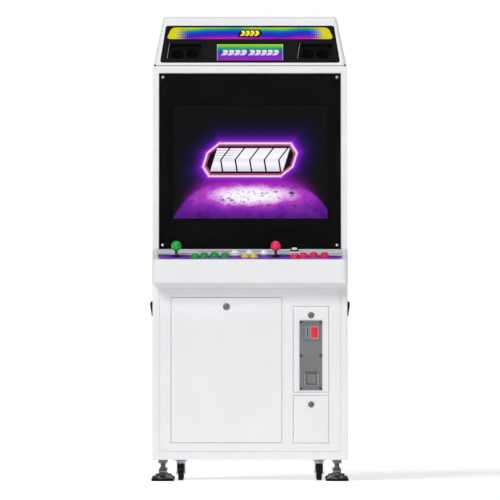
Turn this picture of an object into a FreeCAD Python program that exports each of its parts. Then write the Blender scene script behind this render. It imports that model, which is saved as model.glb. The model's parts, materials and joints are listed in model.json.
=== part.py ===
# Upright two-player arcade cabinet in folded sheet metal, as separate pieces.
# Millimetres. Front is -Y, +X is to the right of a player facing it, +Z is up.
# Origin: on the floor, in the middle of the footprint.
import FreeCAD, Part
import math
import os
from collections import namedtuple

from FreeCAD import Placement, Rotation, Vector

os.makedirs("parts", exist_ok=True)

# ---------------------------------------------------------------- driving dimensions
BODY_HALF_W = 335.0          # outside of the white body
FRONT_Y = -360.0             # nose of the control box
BACK_Y = 357.0               # outside of the back walls
REAR_PANEL_Y = 360.0         # outside of the screwed-on rear panel
TOP_Z = 1600.0
SHEET = 2.0                  # body sheet
DOOR_SHEET = 1.5

BASE_FRONT_Y = -245.0
BASE_BOTTOM_Z = 74.0
DECK_Z = 683.0               # where the control box and monitor housing sit on the base
HOUSING_FRONT_Y = -174.8
HOUSING_TOP_Z = 1430.0
SEAM = 2.0                   # shadow gap under the hood

GLASS_TILT = 13.0            # from the vertical
GLASS_BOTTOM_Z = 798.0
GLASS_TOP_Z = 1405.0
GLASS_HALF_W = 313.5
GLASS_T = 5.0

PANEL_SLOPE = 11.0           # control panel, from the horizontal
PANEL_FRONT_Z = 762.0
HOOD_LEAN = 35.0             # hood front, from the vertical

DOOR_GAP = 1.2
DOOR_DEPTH = 12.0            # folded edge of each door
PIVOT_IN = 18.0              # hinge pin, in from the door's lower edge
PIVOT_BACK = 5.0             # hinge pin, behind the door's face
PIN_R = 2.5
RUNNING = 0.05               # radial clearance of pins and shafts

FOOT_X = 300.0
FOOT_YS = (-200.0, 315.0)
CASTER_X = 238.0
CASTER_YS = (-135.0, 250.0)

# Doors in the front frame, each with a cam lock near its top edge
Door = namedtuple("Door", "name left right bottom top lock_x lock_z head_r cam_length")
SERVICE_DOOR = Door("service_door", -271.0, 109.0, 133.0, 631.0, -81.0, 600.0, 12.0, 45.0)
COIN_DOOR = Door("coin_door", 149.0, 270.0, 307.0, 601.0, 210.0, 571.0, 11.0, 41.0)
CASH_DOOR = Door("cash_door", 149.0, 270.0, 132.0, 295.0, 210.0, 264.0, 10.5, 38.0)
DOORS = (SERVICE_DOOR, COIN_DOOR, CASH_DOOR)
LOCK_BARREL_R = 9.5

# Control panel: x across, v up the slope from the front edge of the box
PANEL_V0 = 12.0
PANEL_V1 = 186.0
PANEL_HALF_W = 316.0
PANEL_CORNER_R = 20.0
STICKS = (("p1", -253.0), ("p2", 88.0))
STICK_V = 51.0
STICK_PIVOT_W = -22.0
BUTTON_STEPS = ((65.0, 37.0), (96.0, 53.0), (131.0, 60.0), (168.0, 56.0))
MENU_BUTTONS = (
    ("start_button_left", -17.0, 50.0),
    ("start_button_right", 13.0, 50.0),
    ("menu_button_left", -51.0, 124.0),
    ("menu_button_middle", -1.0, 124.0),
    ("menu_button_right", 49.0, 124.0),
    ("service_button", 153.0, 160.0),
)

OVER = 1.0                   # how far a cutting shape runs past the surface it cuts
FLANGE_HALF_W = 310.0        # opening in the flanges where base and housing meet

X_AXIS = Vector(1, 0, 0)
Y_AXIS = Vector(0, 1, 0)
Z_AXIS = Vector(0, 0, 1)


# ---------------------------------------------------------------- small helpers
def box(x0, x1, y0, y1, z0, z1):
    return Part.makeBox(x1 - x0, y1 - y0, z1 - z0, Vector(x0, y0, z0))


def rod(radius, base, axis, length):
    return Part.makeCylinder(radius, length, Vector(*base), axis)


def cone(r0, r1, base, length):
    return Part.makeCone(r0, r1, length, Vector(*base), Z_AXIS)


def prism_x(points, x0, x1):
    """Extrudes a (y, z) outline along X."""
    wire = Part.makePolygon([Vector(x0, y, z) for y, z in points] + [Vector(x0, *points[0])])
    return Part.Face(wire).extrude(Vector(x1 - x0, 0, 0))


def prism_y(points, y0, y1):
    """Extrudes an (x, z) outline along Y."""
    wire = Part.makePolygon([Vector(x, y0, z) for x, z in points] + [Vector(points[0][0], y0, points[0][1])])
    return Part.Face(wire).extrude(Vector(0, y1 - y0, 0))


def prism_z(points, z0, z1):
    """Extrudes an (x, y) outline along Z."""
    wire = Part.makePolygon([Vector(x, y, z0) for x, y in points] + [Vector(*points[0], z0)])
    return Part.Face(wire).extrude(Vector(0, 0, z1 - z0))


def hexagon(across_flats, x, y, z0, z1):
    radius = across_flats / 2 / math.cos(math.radians(30))
    corners = [math.radians(60 * i) for i in range(6)]
    return prism_z([(x + radius * math.cos(a), y + radius * math.sin(a)) for a in corners], z0, z1)


def fuse(shapes):
    first, *rest = shapes
    return first.fuse(rest).removeSplitter() if rest else first


def group(solids):
    return Part.makeCompound(solids)


def ring_box(outer, inner):
    return box(*outer).cut(box(*inner))


def edges_where(shape, test):
    return [edge for edge in shape.Edges if test(edge)]


def runs_along(edge, axis):
    if not isinstance(edge.Curve, (Part.Line, Part.LineSegment)):
        return False
    direction = (edge.Vertexes[-1].Point - edge.Vertexes[0].Point).normalize()
    return abs(direction.dot(axis)) > 0.999


def edge_at(edge, axis, *places):
    """True for a straight edge along axis whose middle is at each (coordinate, value)."""
    if not runs_along(edge, axis):
        return False
    middle = (edge.Vertexes[0].Point + edge.Vertexes[-1].Point) * 0.5
    return all(abs(getattr(middle, name) - value) < 0.01 for name, value in places)


def save(name, shape):
    for solid in shape.Solids:
        if not solid.isValid():
            print("not valid:", name)
    shape.exportStep("parts/" + name + ".step")
    print(name, len(shape.Solids), "solid(s)", round(shape.Volume / 1000), "cm3")


# ---------------------------------------------------------------- sloping frames
# Control panel frame: x across, y up the slope (v), z out of the surface (w)
PANEL_FRAME = Placement(Vector(0, FRONT_Y, PANEL_FRONT_Z), Rotation(X_AXIS, PANEL_SLOPE))
# Glass frame: x across, y up the glass, z out of its front
GLASS_FRAME = Placement(Vector(0, HOUSING_FRONT_Y, GLASS_BOTTOM_Z), Rotation(X_AXIS, 90 - GLASS_TILT))
GLASS_LENGTH = (GLASS_TOP_Z - GLASS_BOTTOM_Z) / math.cos(math.radians(GLASS_TILT))
HOUSING_TOP_Y = HOUSING_FRONT_Y + (HOUSING_TOP_Z - GLASS_BOTTOM_Z) * math.tan(math.radians(GLASS_TILT))
# Hood frame: x across, y up the sloping front, z out of it
HOOD_Z = HOUSING_TOP_Z + SEAM
HOOD_Y = -28.0
HOOD_FRAME = Placement(Vector(0, HOOD_Y, HOOD_Z), Rotation(X_AXIS, 90 - HOOD_LEAN))


def placed(shape, frame):
    moved = shape.copy()
    moved.Placement = frame.multiply(shape.Placement)
    return moved


# ---------------------------------------------------------------- base
BASE_FLANGE = 23.0           # white strips each side of the front frame
FRAME_HALF_W = BODY_HALF_W - BASE_FLANGE
FRAME_Z0 = 102.0
FRAME_Z1 = 662.0
BODY_CORNER_R = 4.0
INSIDE_HALF_W = BODY_HALF_W - SHEET
LEDGE_OPENING = (-300.0, 300.0, 115.0, 650.0)
FLANGE_FRONT = 20.0
FLANGE_BACK = 25.0
FOOT_HOLE_R = 9.0
HANDLE_Y = 40.0
HANDLE_HOLE_HALF = 56.0
HANDLE_HOLE_Z = (574.0, 613.0)
INLET_X = 195.0
INLET_Z = 115.0
INLET_HOLE_HALF = (24.0, 14.0)
BASE_VENTS = (5, -180.0, 300.0, 24.0)    # count, middle x, lowest z, pitch
VENT_HALF_W = 60.0
VENT_R = 3.0
VENT_CUT_DEPTH = 6.0


def base_shell():
    outer = box(-BODY_HALF_W, BODY_HALF_W, BASE_FRONT_Y, BACK_Y, BASE_BOTTOM_Z, DECK_Z)
    corners = edges_where(outer, lambda e: runs_along(e, Z_AXIS))
    outer = outer.makeFillet(BODY_CORNER_R, corners)
    ledge_y0 = BASE_FRONT_Y + SHEET
    back = BACK_Y - SHEET
    hollow = box(-INSIDE_HALF_W, INSIDE_HALF_W, ledge_y0, back, BASE_BOTTOM_Z + SHEET, DECK_Z + OVER)
    opening = box(-FRAME_HALF_W, FRAME_HALF_W, BASE_FRONT_Y - OVER, ledge_y0 + OVER, FRAME_Z0, FRAME_Z1)
    shell = outer.cut([hollow, opening])
    open_x0, open_x1, open_z0, open_z1 = LEDGE_OPENING
    ledge = ring_box(
        (-INSIDE_HALF_W, INSIDE_HALF_W, ledge_y0, ledge_y0 + SHEET, BASE_BOTTOM_Z + SHEET, DECK_Z - SHEET),
        (open_x0, open_x1, ledge_y0 - OVER, ledge_y0 + SHEET + OVER, open_z0, open_z1),
    )
    flange_y = (ledge_y0 + FLANGE_FRONT, BACK_Y - FLANGE_BACK)
    top_flange = ring_box(
        (-INSIDE_HALF_W, INSIDE_HALF_W, ledge_y0, back, DECK_Z - SHEET, DECK_Z),
        (-FLANGE_HALF_W, FLANGE_HALF_W, *flange_y, DECK_Z - SHEET - OVER, DECK_Z + OVER),
    )
    shell = fuse([shell, ledge, top_flange])
    cuts = []
    for x in (-FOOT_X, FOOT_X):
        for y in FOOT_YS:
            cuts.append(rod(FOOT_HOLE_R, (x, y, BASE_BOTTOM_Z - OVER), Z_AXIS, SHEET + 2 * OVER))
    handle_y = (HANDLE_Y - HANDLE_HOLE_HALF, HANDLE_Y + HANDLE_HOLE_HALF)
    for x in (-BODY_HALF_W, INSIDE_HALF_W):
        cuts.append(box(x - SHEET, x + 2 * SHEET, *handle_y, *HANDLE_HOLE_Z))
    half_x, half_z = INLET_HOLE_HALF
    inlet_x = (INLET_X - half_x, INLET_X + half_x)
    cuts.append(box(*inlet_x, back - OVER, BACK_Y + OVER, INLET_Z - half_z, INLET_Z + half_z))
    cuts += vent_slots(*BASE_VENTS, back - 2 * OVER)
    return shell.cut(cuts)


def vent_slots(count, x_middle, z_start, pitch, y):
    """Long horizontal slots with round ends through a back wall."""
    x0, x1 = x_middle - VENT_HALF_W, x_middle + VENT_HALF_W
    slots = []
    for i in range(count):
        z = z_start + i * pitch
        slots.append(box(x0, x1, y, y + VENT_CUT_DEPTH, z - VENT_R, z + VENT_R))
        slots.append(rod(VENT_R, (x0, y, z), Y_AXIS, VENT_CUT_DEPTH))
        slots.append(rod(VENT_R, (x1, y, z), Y_AXIS, VENT_CUT_DEPTH))
    return slots


FRAME_CLEAR = 1.0            # gap around the front frame in its opening
TAB_T = 3.0
TAB_HALF_H = 7.0
TAB_REACH = 10.0
STRIKE_HALF_W = 16.0
STRIKE_H = 10.0
STRIKE_END = 3.0             # the strike stops this far past the cam's tip


def base_front_frame():
    back = BASE_FRONT_Y + SHEET
    half_w = FRAME_HALF_W - FRAME_CLEAR
    plate = box(-half_w, half_w, BASE_FRONT_Y, back, FRAME_Z0 + FRAME_CLEAR, FRAME_Z1 - FRAME_CLEAR)
    openings = []
    extras = []
    holes = []
    for spec in DOORS:
        left, right = spec.left - DOOR_GAP, spec.right + DOOR_GAP
        bottom, top = spec.bottom - DOOR_GAP, spec.top + DOOR_GAP
        openings.append(box(left, right, BASE_FRONT_Y - OVER, back + OVER, bottom, top))
        pivot_z = spec.bottom + PIVOT_IN
        for tab_x in (left - OVER - TAB_T, right + OVER):
            extras.append(box(tab_x, tab_x + TAB_T, back, back + TAB_REACH, pivot_z - TAB_HALF_H, pivot_z + TAB_HALF_H))
            start = (tab_x - OVER, BASE_FRONT_Y + PIVOT_BACK, pivot_z)
            holes.append(rod(PIN_R + RUNNING, start, X_AXIS, TAB_T + 2 * OVER))
        strike_z0 = top + OVER
        strike_z1 = min(strike_z0 + STRIKE_H, spec.lock_z + spec.cam_length + STRIKE_END)
        strike_x = (spec.lock_x - STRIKE_HALF_W, spec.lock_x + STRIKE_HALF_W)
        extras.append(box(*strike_x, back, BASE_FRONT_Y + DOOR_DEPTH + 1, strike_z0, strike_z1))
    return fuse([plate.cut(openings)] + extras).cut(holes)


PIN_INSIDE = 4.0             # length of a hinge pin inside the door's edge
PIN_OUTSIDE = 5.0            # and past the gap, through the tab
WIDE_DOOR = 200.0            # doors wider than this are stiffened
RIB_W = 40.0
RIB_T = 1.5
RIB_DEPTH = 9.0
RIB_FROM_LEFT = 60.0
RIB_FROM_RIGHT = 100.0
RIB_FROM_BOTTOM = 40.0
RIB_FROM_TOP = 60.0
COIN_DOOR_OPENING = (183.0, 235.0, 324.0, 542.0)


def stiffening_rib(x, z0, z1, face_back):
    """Channel welded to the back of a door."""
    channel = box(x, x + RIB_W, face_back, face_back + RIB_DEPTH, z0, z1)
    groove = box(x + RIB_T, x + RIB_W - RIB_T, face_back - OVER, face_back + RIB_DEPTH - RIB_T, z0 - OVER, z1 + OVER)
    return channel.cut(groove)


def door(spec):
    face_back = BASE_FRONT_Y + DOOR_SHEET
    y1 = BASE_FRONT_Y + DOOR_DEPTH
    left, right, bottom, top = spec.left, spec.right, spec.bottom, spec.top
    pan = ring_box(
        (left, right, BASE_FRONT_Y, y1, bottom, top),
        (left + DOOR_SHEET, right - DOOR_SHEET, face_back, y1 + OVER, bottom + DOOR_SHEET, top - DOOR_SHEET),
    )
    pin_y = BASE_FRONT_Y + PIVOT_BACK
    pin_z = bottom + PIVOT_IN
    pin_length = PIN_INSIDE + DOOR_GAP + PIN_OUTSIDE
    pin_xs = (left - DOOR_GAP - PIN_OUTSIDE, right - PIN_INSIDE)
    pins = [rod(PIN_R, (x, pin_y, pin_z), X_AXIS, pin_length) for x in pin_xs]
    ribs = []
    if right - left > WIDE_DOOR:
        for x in (left + RIB_FROM_LEFT, right - RIB_FROM_RIGHT):
            ribs.append(stiffening_rib(x, bottom + RIB_FROM_BOTTOM, top - RIB_FROM_TOP, face_back))
    lock_start = (spec.lock_x, BASE_FRONT_Y - OVER, spec.lock_z)
    holes = [rod(LOCK_BARREL_R + RUNNING, lock_start, Y_AXIS, DOOR_SHEET + 2 * OVER)]
    if spec is COIN_DOOR:
        x0, x1, z0, z1 = COIN_DOOR_OPENING
        holes.append(box(x0, x1, BASE_FRONT_Y - OVER, face_back + OVER, z0, z1))
    return fuse([pan] + pins + ribs).cut(holes)


LOCK_HEAD_T = 3.0
LOCK_HEAD_CHAMFER = 0.8
LOCK_BARREL_L = 18.0
CAM_T = 3.0
CAM_HALF_W = 7.0
CAM_BEHIND_DOOR = 2.0
KEY_SLOT = (1.2, 4.5, 2.0)   # half width, half height, depth


def cam_lock(spec):
    x, z = spec.lock_x, spec.lock_z
    head_y = BASE_FRONT_Y - LOCK_HEAD_T
    head = rod(spec.head_r, (x, head_y, z), Y_AXIS, LOCK_HEAD_T)
    head = head.makeChamfer(LOCK_HEAD_CHAMFER, edges_where(head, lambda e: e.BoundBox.YMax < head_y + 1))
    barrel = rod(LOCK_BARREL_R, (x, BASE_FRONT_Y, z), Y_AXIS, LOCK_BARREL_L)
    cam_y = BASE_FRONT_Y + DOOR_DEPTH + CAM_BEHIND_DOOR
    tip_x = x + spec.cam_length - CAM_HALF_W
    arm = fuse([
        box(x, tip_x, cam_y, cam_y + CAM_T, z - CAM_HALF_W, z + CAM_HALF_W),
        rod(CAM_HALF_W, (tip_x, cam_y, z), Y_AXIS, CAM_T),
    ])
    half_w, half_h, depth = KEY_SLOT
    key_slot = box(x - half_w, x + half_w, head_y - OVER, head_y + depth, z - half_h, z + half_h)
    return fuse([head, barrel, arm]).cut(key_slot)


# ---------------------------------------------------------------- coin door
PLATE = (170.0, 248.0, 313.0, 553.0)
PLATE_T = 2.5
PLATE_Y = BASE_FRONT_Y - PLATE_T
ENTRY = (184.0, 239.5, 484.0, 542.5)
REJECT = (211.0, 232.0, 495.0, 529.0)
CUP_FRAME = (184.0, 238.0, 323.5, 378.0)
CUP = (192.5, 229.5, 333.0, 372.0)
CUP_BACK_Y = -205.0
FLAP_PIN_Z = 369.5
FLAP_Y = PLATE_Y + 2.0


ENTRY_T = 4.0
ENTRY_CORNER_R = 3.0
ENTRY_CHAMFER = 1.5
CUP_FRAME_T = 3.0
CUP_FRAME_CHAMFER = 1.2
CUP_WALL = 1.5
REJECT_CLEAR = 0.4
COIN_SLOT = (196.5, 199.5, 495.0, 529.0)
COIN_CUT_FRONT = 5.0         # cuts through the plate start this far in front of it
FLAP_PIN_R = 1.2
PLATE_SCREW_R = 2.8
PLATE_SCREW_T = 1.2
PLATE_SCREW_XS = (175.5, 242.7)
PLATE_SCREW_ZS = (318.5, 432.0, 547.5)


def front_edges(shape, y):
    """Edges of a shape that lie in its front face at y."""
    return edges_where(shape, lambda e: e.BoundBox.YMax < y + 0.1)


def coin_plate():
    plate_x0, plate_x1, plate_z0, plate_z1 = PLATE
    entry_x0, entry_x1, entry_z0, entry_z1 = ENTRY
    frame_x0, frame_x1, frame_z0, frame_z1 = CUP_FRAME
    cup_x0, cup_x1, cup_z0, cup_z1 = CUP
    reject_x0, reject_x1, reject_z0, reject_z1 = REJECT
    slot_x0, slot_x1, slot_z0, slot_z1 = COIN_SLOT
    plate = box(plate_x0, plate_x1, PLATE_Y, BASE_FRONT_Y, plate_z0, plate_z1)
    entry_y = PLATE_Y - ENTRY_T
    entry = box(entry_x0, entry_x1, entry_y, PLATE_Y, entry_z0, entry_z1)
    entry = entry.makeFillet(ENTRY_CORNER_R, edges_where(entry, lambda e: runs_along(e, Y_AXIS)))
    entry = entry.makeChamfer(ENTRY_CHAMFER, front_edges(entry, entry_y))
    frame_y = PLATE_Y - CUP_FRAME_T
    cup_frame = box(frame_x0, frame_x1, frame_y, PLATE_Y, frame_z0, frame_z1)
    cup_frame = cup_frame.makeChamfer(CUP_FRAME_CHAMFER, front_edges(cup_frame, frame_y))
    cup = box(cup_x0 - CUP_WALL, cup_x1 + CUP_WALL, PLATE_Y, CUP_BACK_Y, cup_z0 - CUP_WALL, cup_z1 + CUP_WALL)
    cut_y0, cut_y1 = PLATE_Y - COIN_CUT_FRONT, BASE_FRONT_Y + OVER
    reject_x = (reject_x0 - REJECT_CLEAR, reject_x1 + REJECT_CLEAR)
    reject_z = (reject_z0 - REJECT_CLEAR, reject_z1 + REJECT_CLEAR)
    flap_hole_x = cup_x0 - FLAP_PIN_REACH - 0.2
    cuts = [
        box(cup_x0, cup_x1, cut_y0, CUP_BACK_Y - CUP_WALL, cup_z0, cup_z1),
        box(*reject_x, cut_y0, cut_y1, *reject_z),
        box(slot_x0, slot_x1, cut_y0, cut_y1, slot_z0, slot_z1),
        rod(FLAP_PIN_R + RUNNING, (flap_hole_x, FLAP_Y, FLAP_PIN_Z), X_AXIS, cup_x1 + cup_x0 - 2 * flap_hole_x),
    ]
    body = fuse([plate, entry, cup_frame, cup]).cut(cuts)
    screw_y = PLATE_Y - PLATE_SCREW_T
    spots = [(x, screw_y, z) for x in PLATE_SCREW_XS for z in PLATE_SCREW_ZS]
    screws = [rod(PLATE_SCREW_R, spot, Y_AXIS, PLATE_SCREW_T) for spot in spots]
    return group([body] + screws)


REJECT_OUT = 7.0
REJECT_IN = 5.0
REJECT_CORNER_R = 2.0
REJECT_EDGE_R = 1.2


def coin_reject_button():
    x0, x1, z0, z1 = REJECT
    front = PLATE_Y - REJECT_OUT
    button = box(x0, x1, front, BASE_FRONT_Y + REJECT_IN, z0, z1)
    button = button.makeFillet(REJECT_CORNER_R, edges_where(button, lambda e: runs_along(e, Y_AXIS)))
    return button.makeFillet(REJECT_EDGE_R, front_edges(button, front))


FLAP_HALF_T = 0.75
FLAP_SIDE_GAP = 0.5
FLAP_BELOW_GAP = 1.5
FLAP_ABOVE_PIN = 1.6
FLAP_PIN_REACH = 1.2         # how far each end of the pin goes into the cup's side


def coin_return_flap():
    x0, x1, z0 = CUP[:3]
    flap_y = (FLAP_Y - FLAP_HALF_T, FLAP_Y + FLAP_HALF_T)
    flap = box(x0 + FLAP_SIDE_GAP, x1 - FLAP_SIDE_GAP, *flap_y, z0 + FLAP_BELOW_GAP, FLAP_PIN_Z + FLAP_ABOVE_PIN)
    pin = rod(FLAP_PIN_R, (x0 - FLAP_PIN_REACH, FLAP_Y, FLAP_PIN_Z), X_AXIS, x1 - x0 + 2 * FLAP_PIN_REACH)
    return fuse([flap, pin])


COIN_VALIDATOR = (186.0, 232.0, -236.0, -180.0, 384.0, 541.0)
REJECT_SPACE = (206.0, 233.0, -237.0, -231.0, 488.0, 536.0)
VALIDATOR_EARS = ((184.0, 186.0), (232.0, 234.0))
EAR_BACK_Y = -190.0
EAR_Z = (440.0, 480.0)
CHUTE_X = (199.0, 223.0)
CHUTE_FRONT_Y = -232.0


def coin_mechanism():
    body = ring_box(COIN_VALIDATOR, REJECT_SPACE)
    ears = [box(x0, x1, BASE_FRONT_Y, EAR_BACK_Y, *EAR_Z) for x0, x1 in VALIDATOR_EARS]
    chute_z = (CUP[3] + CUP_WALL, COIN_VALIDATOR[4])
    chute = box(*CHUTE_X, CHUTE_FRONT_Y, CUP_BACK_Y - 1, *chute_z)
    return fuse([body, chute] + ears)


CASH_BOX = (152.0, 266.0, -214.0, -40.0, 76.0, 236.0)
CASH_BOX_WALL = 1.5


def cash_box():
    x0, x1, y0, y1, z0, z1 = CASH_BOX
    wall = CASH_BOX_WALL
    return ring_box(CASH_BOX, (x0 + wall, x1 - wall, y0 + wall, y1 - wall, z0 + wall, z1 + OVER))


# ---------------------------------------------------------------- things in the base
BOARD_X = (-200.0, 130.0)
BOARD_Z = (280.0, 510.0)
BOARD_Y = 338.0
BOARD_T = 1.6
BOARD_PARTS = (              # x0, x1, front y, z0, z1
    (-120.0, -60.0, 324.0, 350.0, 410.0),
    (-30.0, 10.0, 330.0, 300.0, 330.0),
    (40.0, 110.0, 328.0, 430.0, 480.0),
    (-185.0, -150.0, 326.0, 440.0, 500.0),
    (20.0, 60.0, 333.0, 340.0, 380.0),
)
BOARD_POST_R = 4.0
BOARD_POST_IN = 10.0


def game_board():
    back = BOARD_Y + BOARD_T
    board = box(*BOARD_X, BOARD_Y, back, *BOARD_Z)
    parts = [box(x0, x1, front, BOARD_Y, z0, z1) for x0, x1, front, z0, z1 in BOARD_PARTS]
    post_xs = (BOARD_X[0] + BOARD_POST_IN, BOARD_X[1] - BOARD_POST_IN)
    post_zs = (BOARD_Z[0] + BOARD_POST_IN, BOARD_Z[1] - BOARD_POST_IN)
    posts = [rod(BOARD_POST_R, (x, back, z), Y_AXIS, BACK_Y - SHEET - back) for x in post_xs for z in post_zs]
    return fuse([board] + parts + posts)


SUPPLY_HALF_W = 75.0
SUPPLY_FRONT_Y = 218.0
SUPPLY_Z = (76.0, 162.0)
INLET_HALF = (23.5, 13.5)
INLET_OUT = 0.5
SOCKET_HALF = (12.0, 8.5)
SOCKET_DEPTH = 14.0


def power_supply():
    inner_wall = BACK_Y - SHEET
    case = box(INLET_X - SUPPLY_HALF_W, INLET_X + SUPPLY_HALF_W, SUPPLY_FRONT_Y, inner_wall, *SUPPLY_Z)
    half_x, half_z = INLET_HALF
    inlet_y = (inner_wall, BACK_Y + INLET_OUT)
    inlet = box(INLET_X - half_x, INLET_X + half_x, *inlet_y, INLET_Z - half_z, INLET_Z + half_z)
    half_x, half_z = SOCKET_HALF
    socket_y = (BACK_Y - SOCKET_DEPTH, BACK_Y + OVER)
    socket = box(INLET_X - half_x, INLET_X + half_x, *socket_y, INLET_Z - half_z, INLET_Z + half_z)
    return fuse([case, inlet]).cut(socket)


HANDLE_LIP = (
    (335.0, 568.0), (339.5, 568.0), (340.5, 580.0), (344.5, 604.0), (344.0, 614.0), (339.0, 618.0), (335.0, 618.0),
)
HANDLE_HALF_L = 62.0
HANDLE_POCKET = (300.0, 335.0, 574.5, 612.5)
HANDLE_POCKET_HALF_L = 55.5
HANDLE_HOLLOW = (302.0, 336.0, 577.0, 610.0)
HANDLE_MOUTH = (335.0, 346.0, 577.0, 601.0)
HANDLE_HOLLOW_HALF_L = 53.0


def handle_box(spec, half_length):
    x0, x1, z0, z1 = spec
    return box(x0, x1, HANDLE_Y - half_length, HANDLE_Y + half_length, z0, z1)


def side_handles():
    """A flanged pocket in each side, with a lip that bulges out over its top."""
    flange = prism_y(HANDLE_LIP, HANDLE_Y - HANDLE_HALF_L, HANDLE_Y + HANDLE_HALF_L)
    right = fuse([flange, handle_box(HANDLE_POCKET, HANDLE_POCKET_HALF_L)])
    right = right.cut([handle_box(spec, HANDLE_HOLLOW_HALF_L) for spec in (HANDLE_HOLLOW, HANDLE_MOUTH)])
    return group([right.mirror(Vector(), X_AXIS), right])


# ---------------------------------------------------------------- feet and casters
PAD_R = 39.5
PAD_H = 9.0
PAD_EDGE_R = 1.5
CAP_R = (38.0, 14.0)
CAP_H = 15.0
NECK_R = 11.0
NECK_H = 6.0
FOOT_NUT = 28.0              # across flats
FOOT_NUT_H = 11.0
STEM_R = 7.5
STEM_H = 78.0


def levelling_foot(x, y):
    pad = rod(PAD_R, (x, y, 0), Z_AXIS, PAD_H)
    pad = pad.makeFillet(PAD_EDGE_R, edges_where(pad, lambda e: e.BoundBox.ZLength < OVER))
    cap = cone(*CAP_R, (x, y, PAD_H), CAP_H)
    neck_z = PAD_H + CAP_H
    neck = rod(NECK_R, (x, y, neck_z), Z_AXIS, NECK_H)
    nut_z = neck_z + NECK_H
    nut = hexagon(FOOT_NUT, x, y, nut_z, nut_z + FOOT_NUT_H)
    stem = rod(STEM_R, (x, y, nut_z + FOOT_NUT_H), Z_AXIS, STEM_H)
    return fuse([pad, cap, neck, nut, stem])


CASTER_TRAIL = 18.0
WHEEL_R = 25.0
WHEEL_Z = WHEEL_R + 2.0      # the feet hold the wheels 2 mm off the floor
CROWN_Z = 62.0               # top of the fork, under the ball race
RACE_R = 17.0
RACE_H = 9.0
KINGPIN_R = 5.0
KINGPIN_H = 2.6
FORK_T = 2.0
FORK_HALF_W = 14.0
FORK_FRONT = 22.0            # fork and pedal shapes are measured from the kingpin
FORK_REAR = 14.0
LEG_AXLE_Z = 20.0
LEG_AXLE_HALF = 6.0
LEG_SIDES = ((-30.0, 30.0), (-6.0, 30.0), (12.0, 50.0))
AXLE_R = 4.0
AXLE_HALF_L = 16.0
PEDAL = (
    (-20.0, 62.0), (-47.0, 55.0), (-52.0, 45.0), (-52.0, 34.0), (-49.0, 34.0), (-49.0, 44.0), (-44.5, 51.5),
    (-20.0, 57.0),
)
PEDAL_HALF_W = 12.0


def caster_fork(x, y):
    axle_y = y - CASTER_TRAIL
    race = rod(RACE_R, (x, y, CROWN_Z), Z_AXIS, RACE_H)
    kingpin = rod(KINGPIN_R, (x, y, CROWN_Z + RACE_H), Z_AXIS, KINGPIN_H)
    crown = box(x - FORK_HALF_W, x + FORK_HALF_W, y - FORK_FRONT, y + FORK_REAR, CROWN_Z - FORK_T, CROWN_Z)
    front_side, low_rear, high_rear = [(y + dy, z) for dy, z in LEG_SIDES]
    leg_outline = [
        (y + FORK_REAR, CROWN_Z), (y - FORK_FRONT, CROWN_Z), front_side, (axle_y - LEG_AXLE_HALF, LEG_AXLE_Z),
        (axle_y + LEG_AXLE_HALF, LEG_AXLE_Z), low_rear, high_rear,
    ]
    legs = [prism_x(leg_outline, leg_x, leg_x + FORK_T) for leg_x in (x - FORK_HALF_W, x + FORK_HALF_W - FORK_T)]
    axle = rod(AXLE_R, (x - AXLE_HALF_L, axle_y, WHEEL_Z), X_AXIS, 2 * AXLE_HALF_L)
    pedal = prism_x([(y + dy, z) for dy, z in PEDAL], x - PEDAL_HALF_W, x + PEDAL_HALF_W)
    return fuse([race, kingpin, crown, pedal, axle] + legs)


WHEEL_HALF_W = 9.8
WHEEL_EDGE_R = 3.0
RECESS_R = 16.0
RECESS_DEPTH = 3.0
HUB_R = 8.0


def caster_wheel(x, y):
    axle_y = y - CASTER_TRAIL
    wheel = rod(WHEEL_R, (x - WHEEL_HALF_W, axle_y, WHEEL_Z), X_AXIS, 2 * WHEEL_HALF_W)
    wheel = wheel.makeFillet(WHEEL_EDGE_R, edges_where(wheel, lambda e: isinstance(e.Curve, Part.Circle)))
    for start_x in (x - WHEEL_HALF_W - OVER, x + WHEEL_HALF_W - RECESS_DEPTH):
        start = (start_x, axle_y, WHEEL_Z)
        recess = rod(RECESS_R, start, X_AXIS, RECESS_DEPTH + OVER)
        wheel = wheel.cut(recess.cut(rod(HUB_R, start, X_AXIS, RECESS_DEPTH + OVER)))
    bore_x = x - WHEEL_HALF_W - OVER
    return wheel.cut(rod(AXLE_R + RUNNING, (bore_x, axle_y, WHEEL_Z), X_AXIS, 2 * (WHEEL_HALF_W + OVER)))


BASE_NUT = 26.0              # across flats
BASE_NUT_H = 13.0
CASTER_PLATE_HALF = (24.0, 30.0)
CASTER_PLATE_T = 2.5
GLASS_SCREW_X = 300.0
GLASS_SCREW_IN = 14.5        # from the glass's lower and upper edges
SCREW_HEAD_R = 4.3
SCREW_HEAD_H = 1.8
SCREW_HEAD_EDGE_R = 0.8
SCREW_R = 2.5
GLASS_SCREW_SS = (GLASS_SCREW_IN, GLASS_LENGTH - GLASS_SCREW_IN)
GLASS_SCREW_SPOTS = [(x, s) for x in (-GLASS_SCREW_X, GLASS_SCREW_X) for s in GLASS_SCREW_SS]


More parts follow.
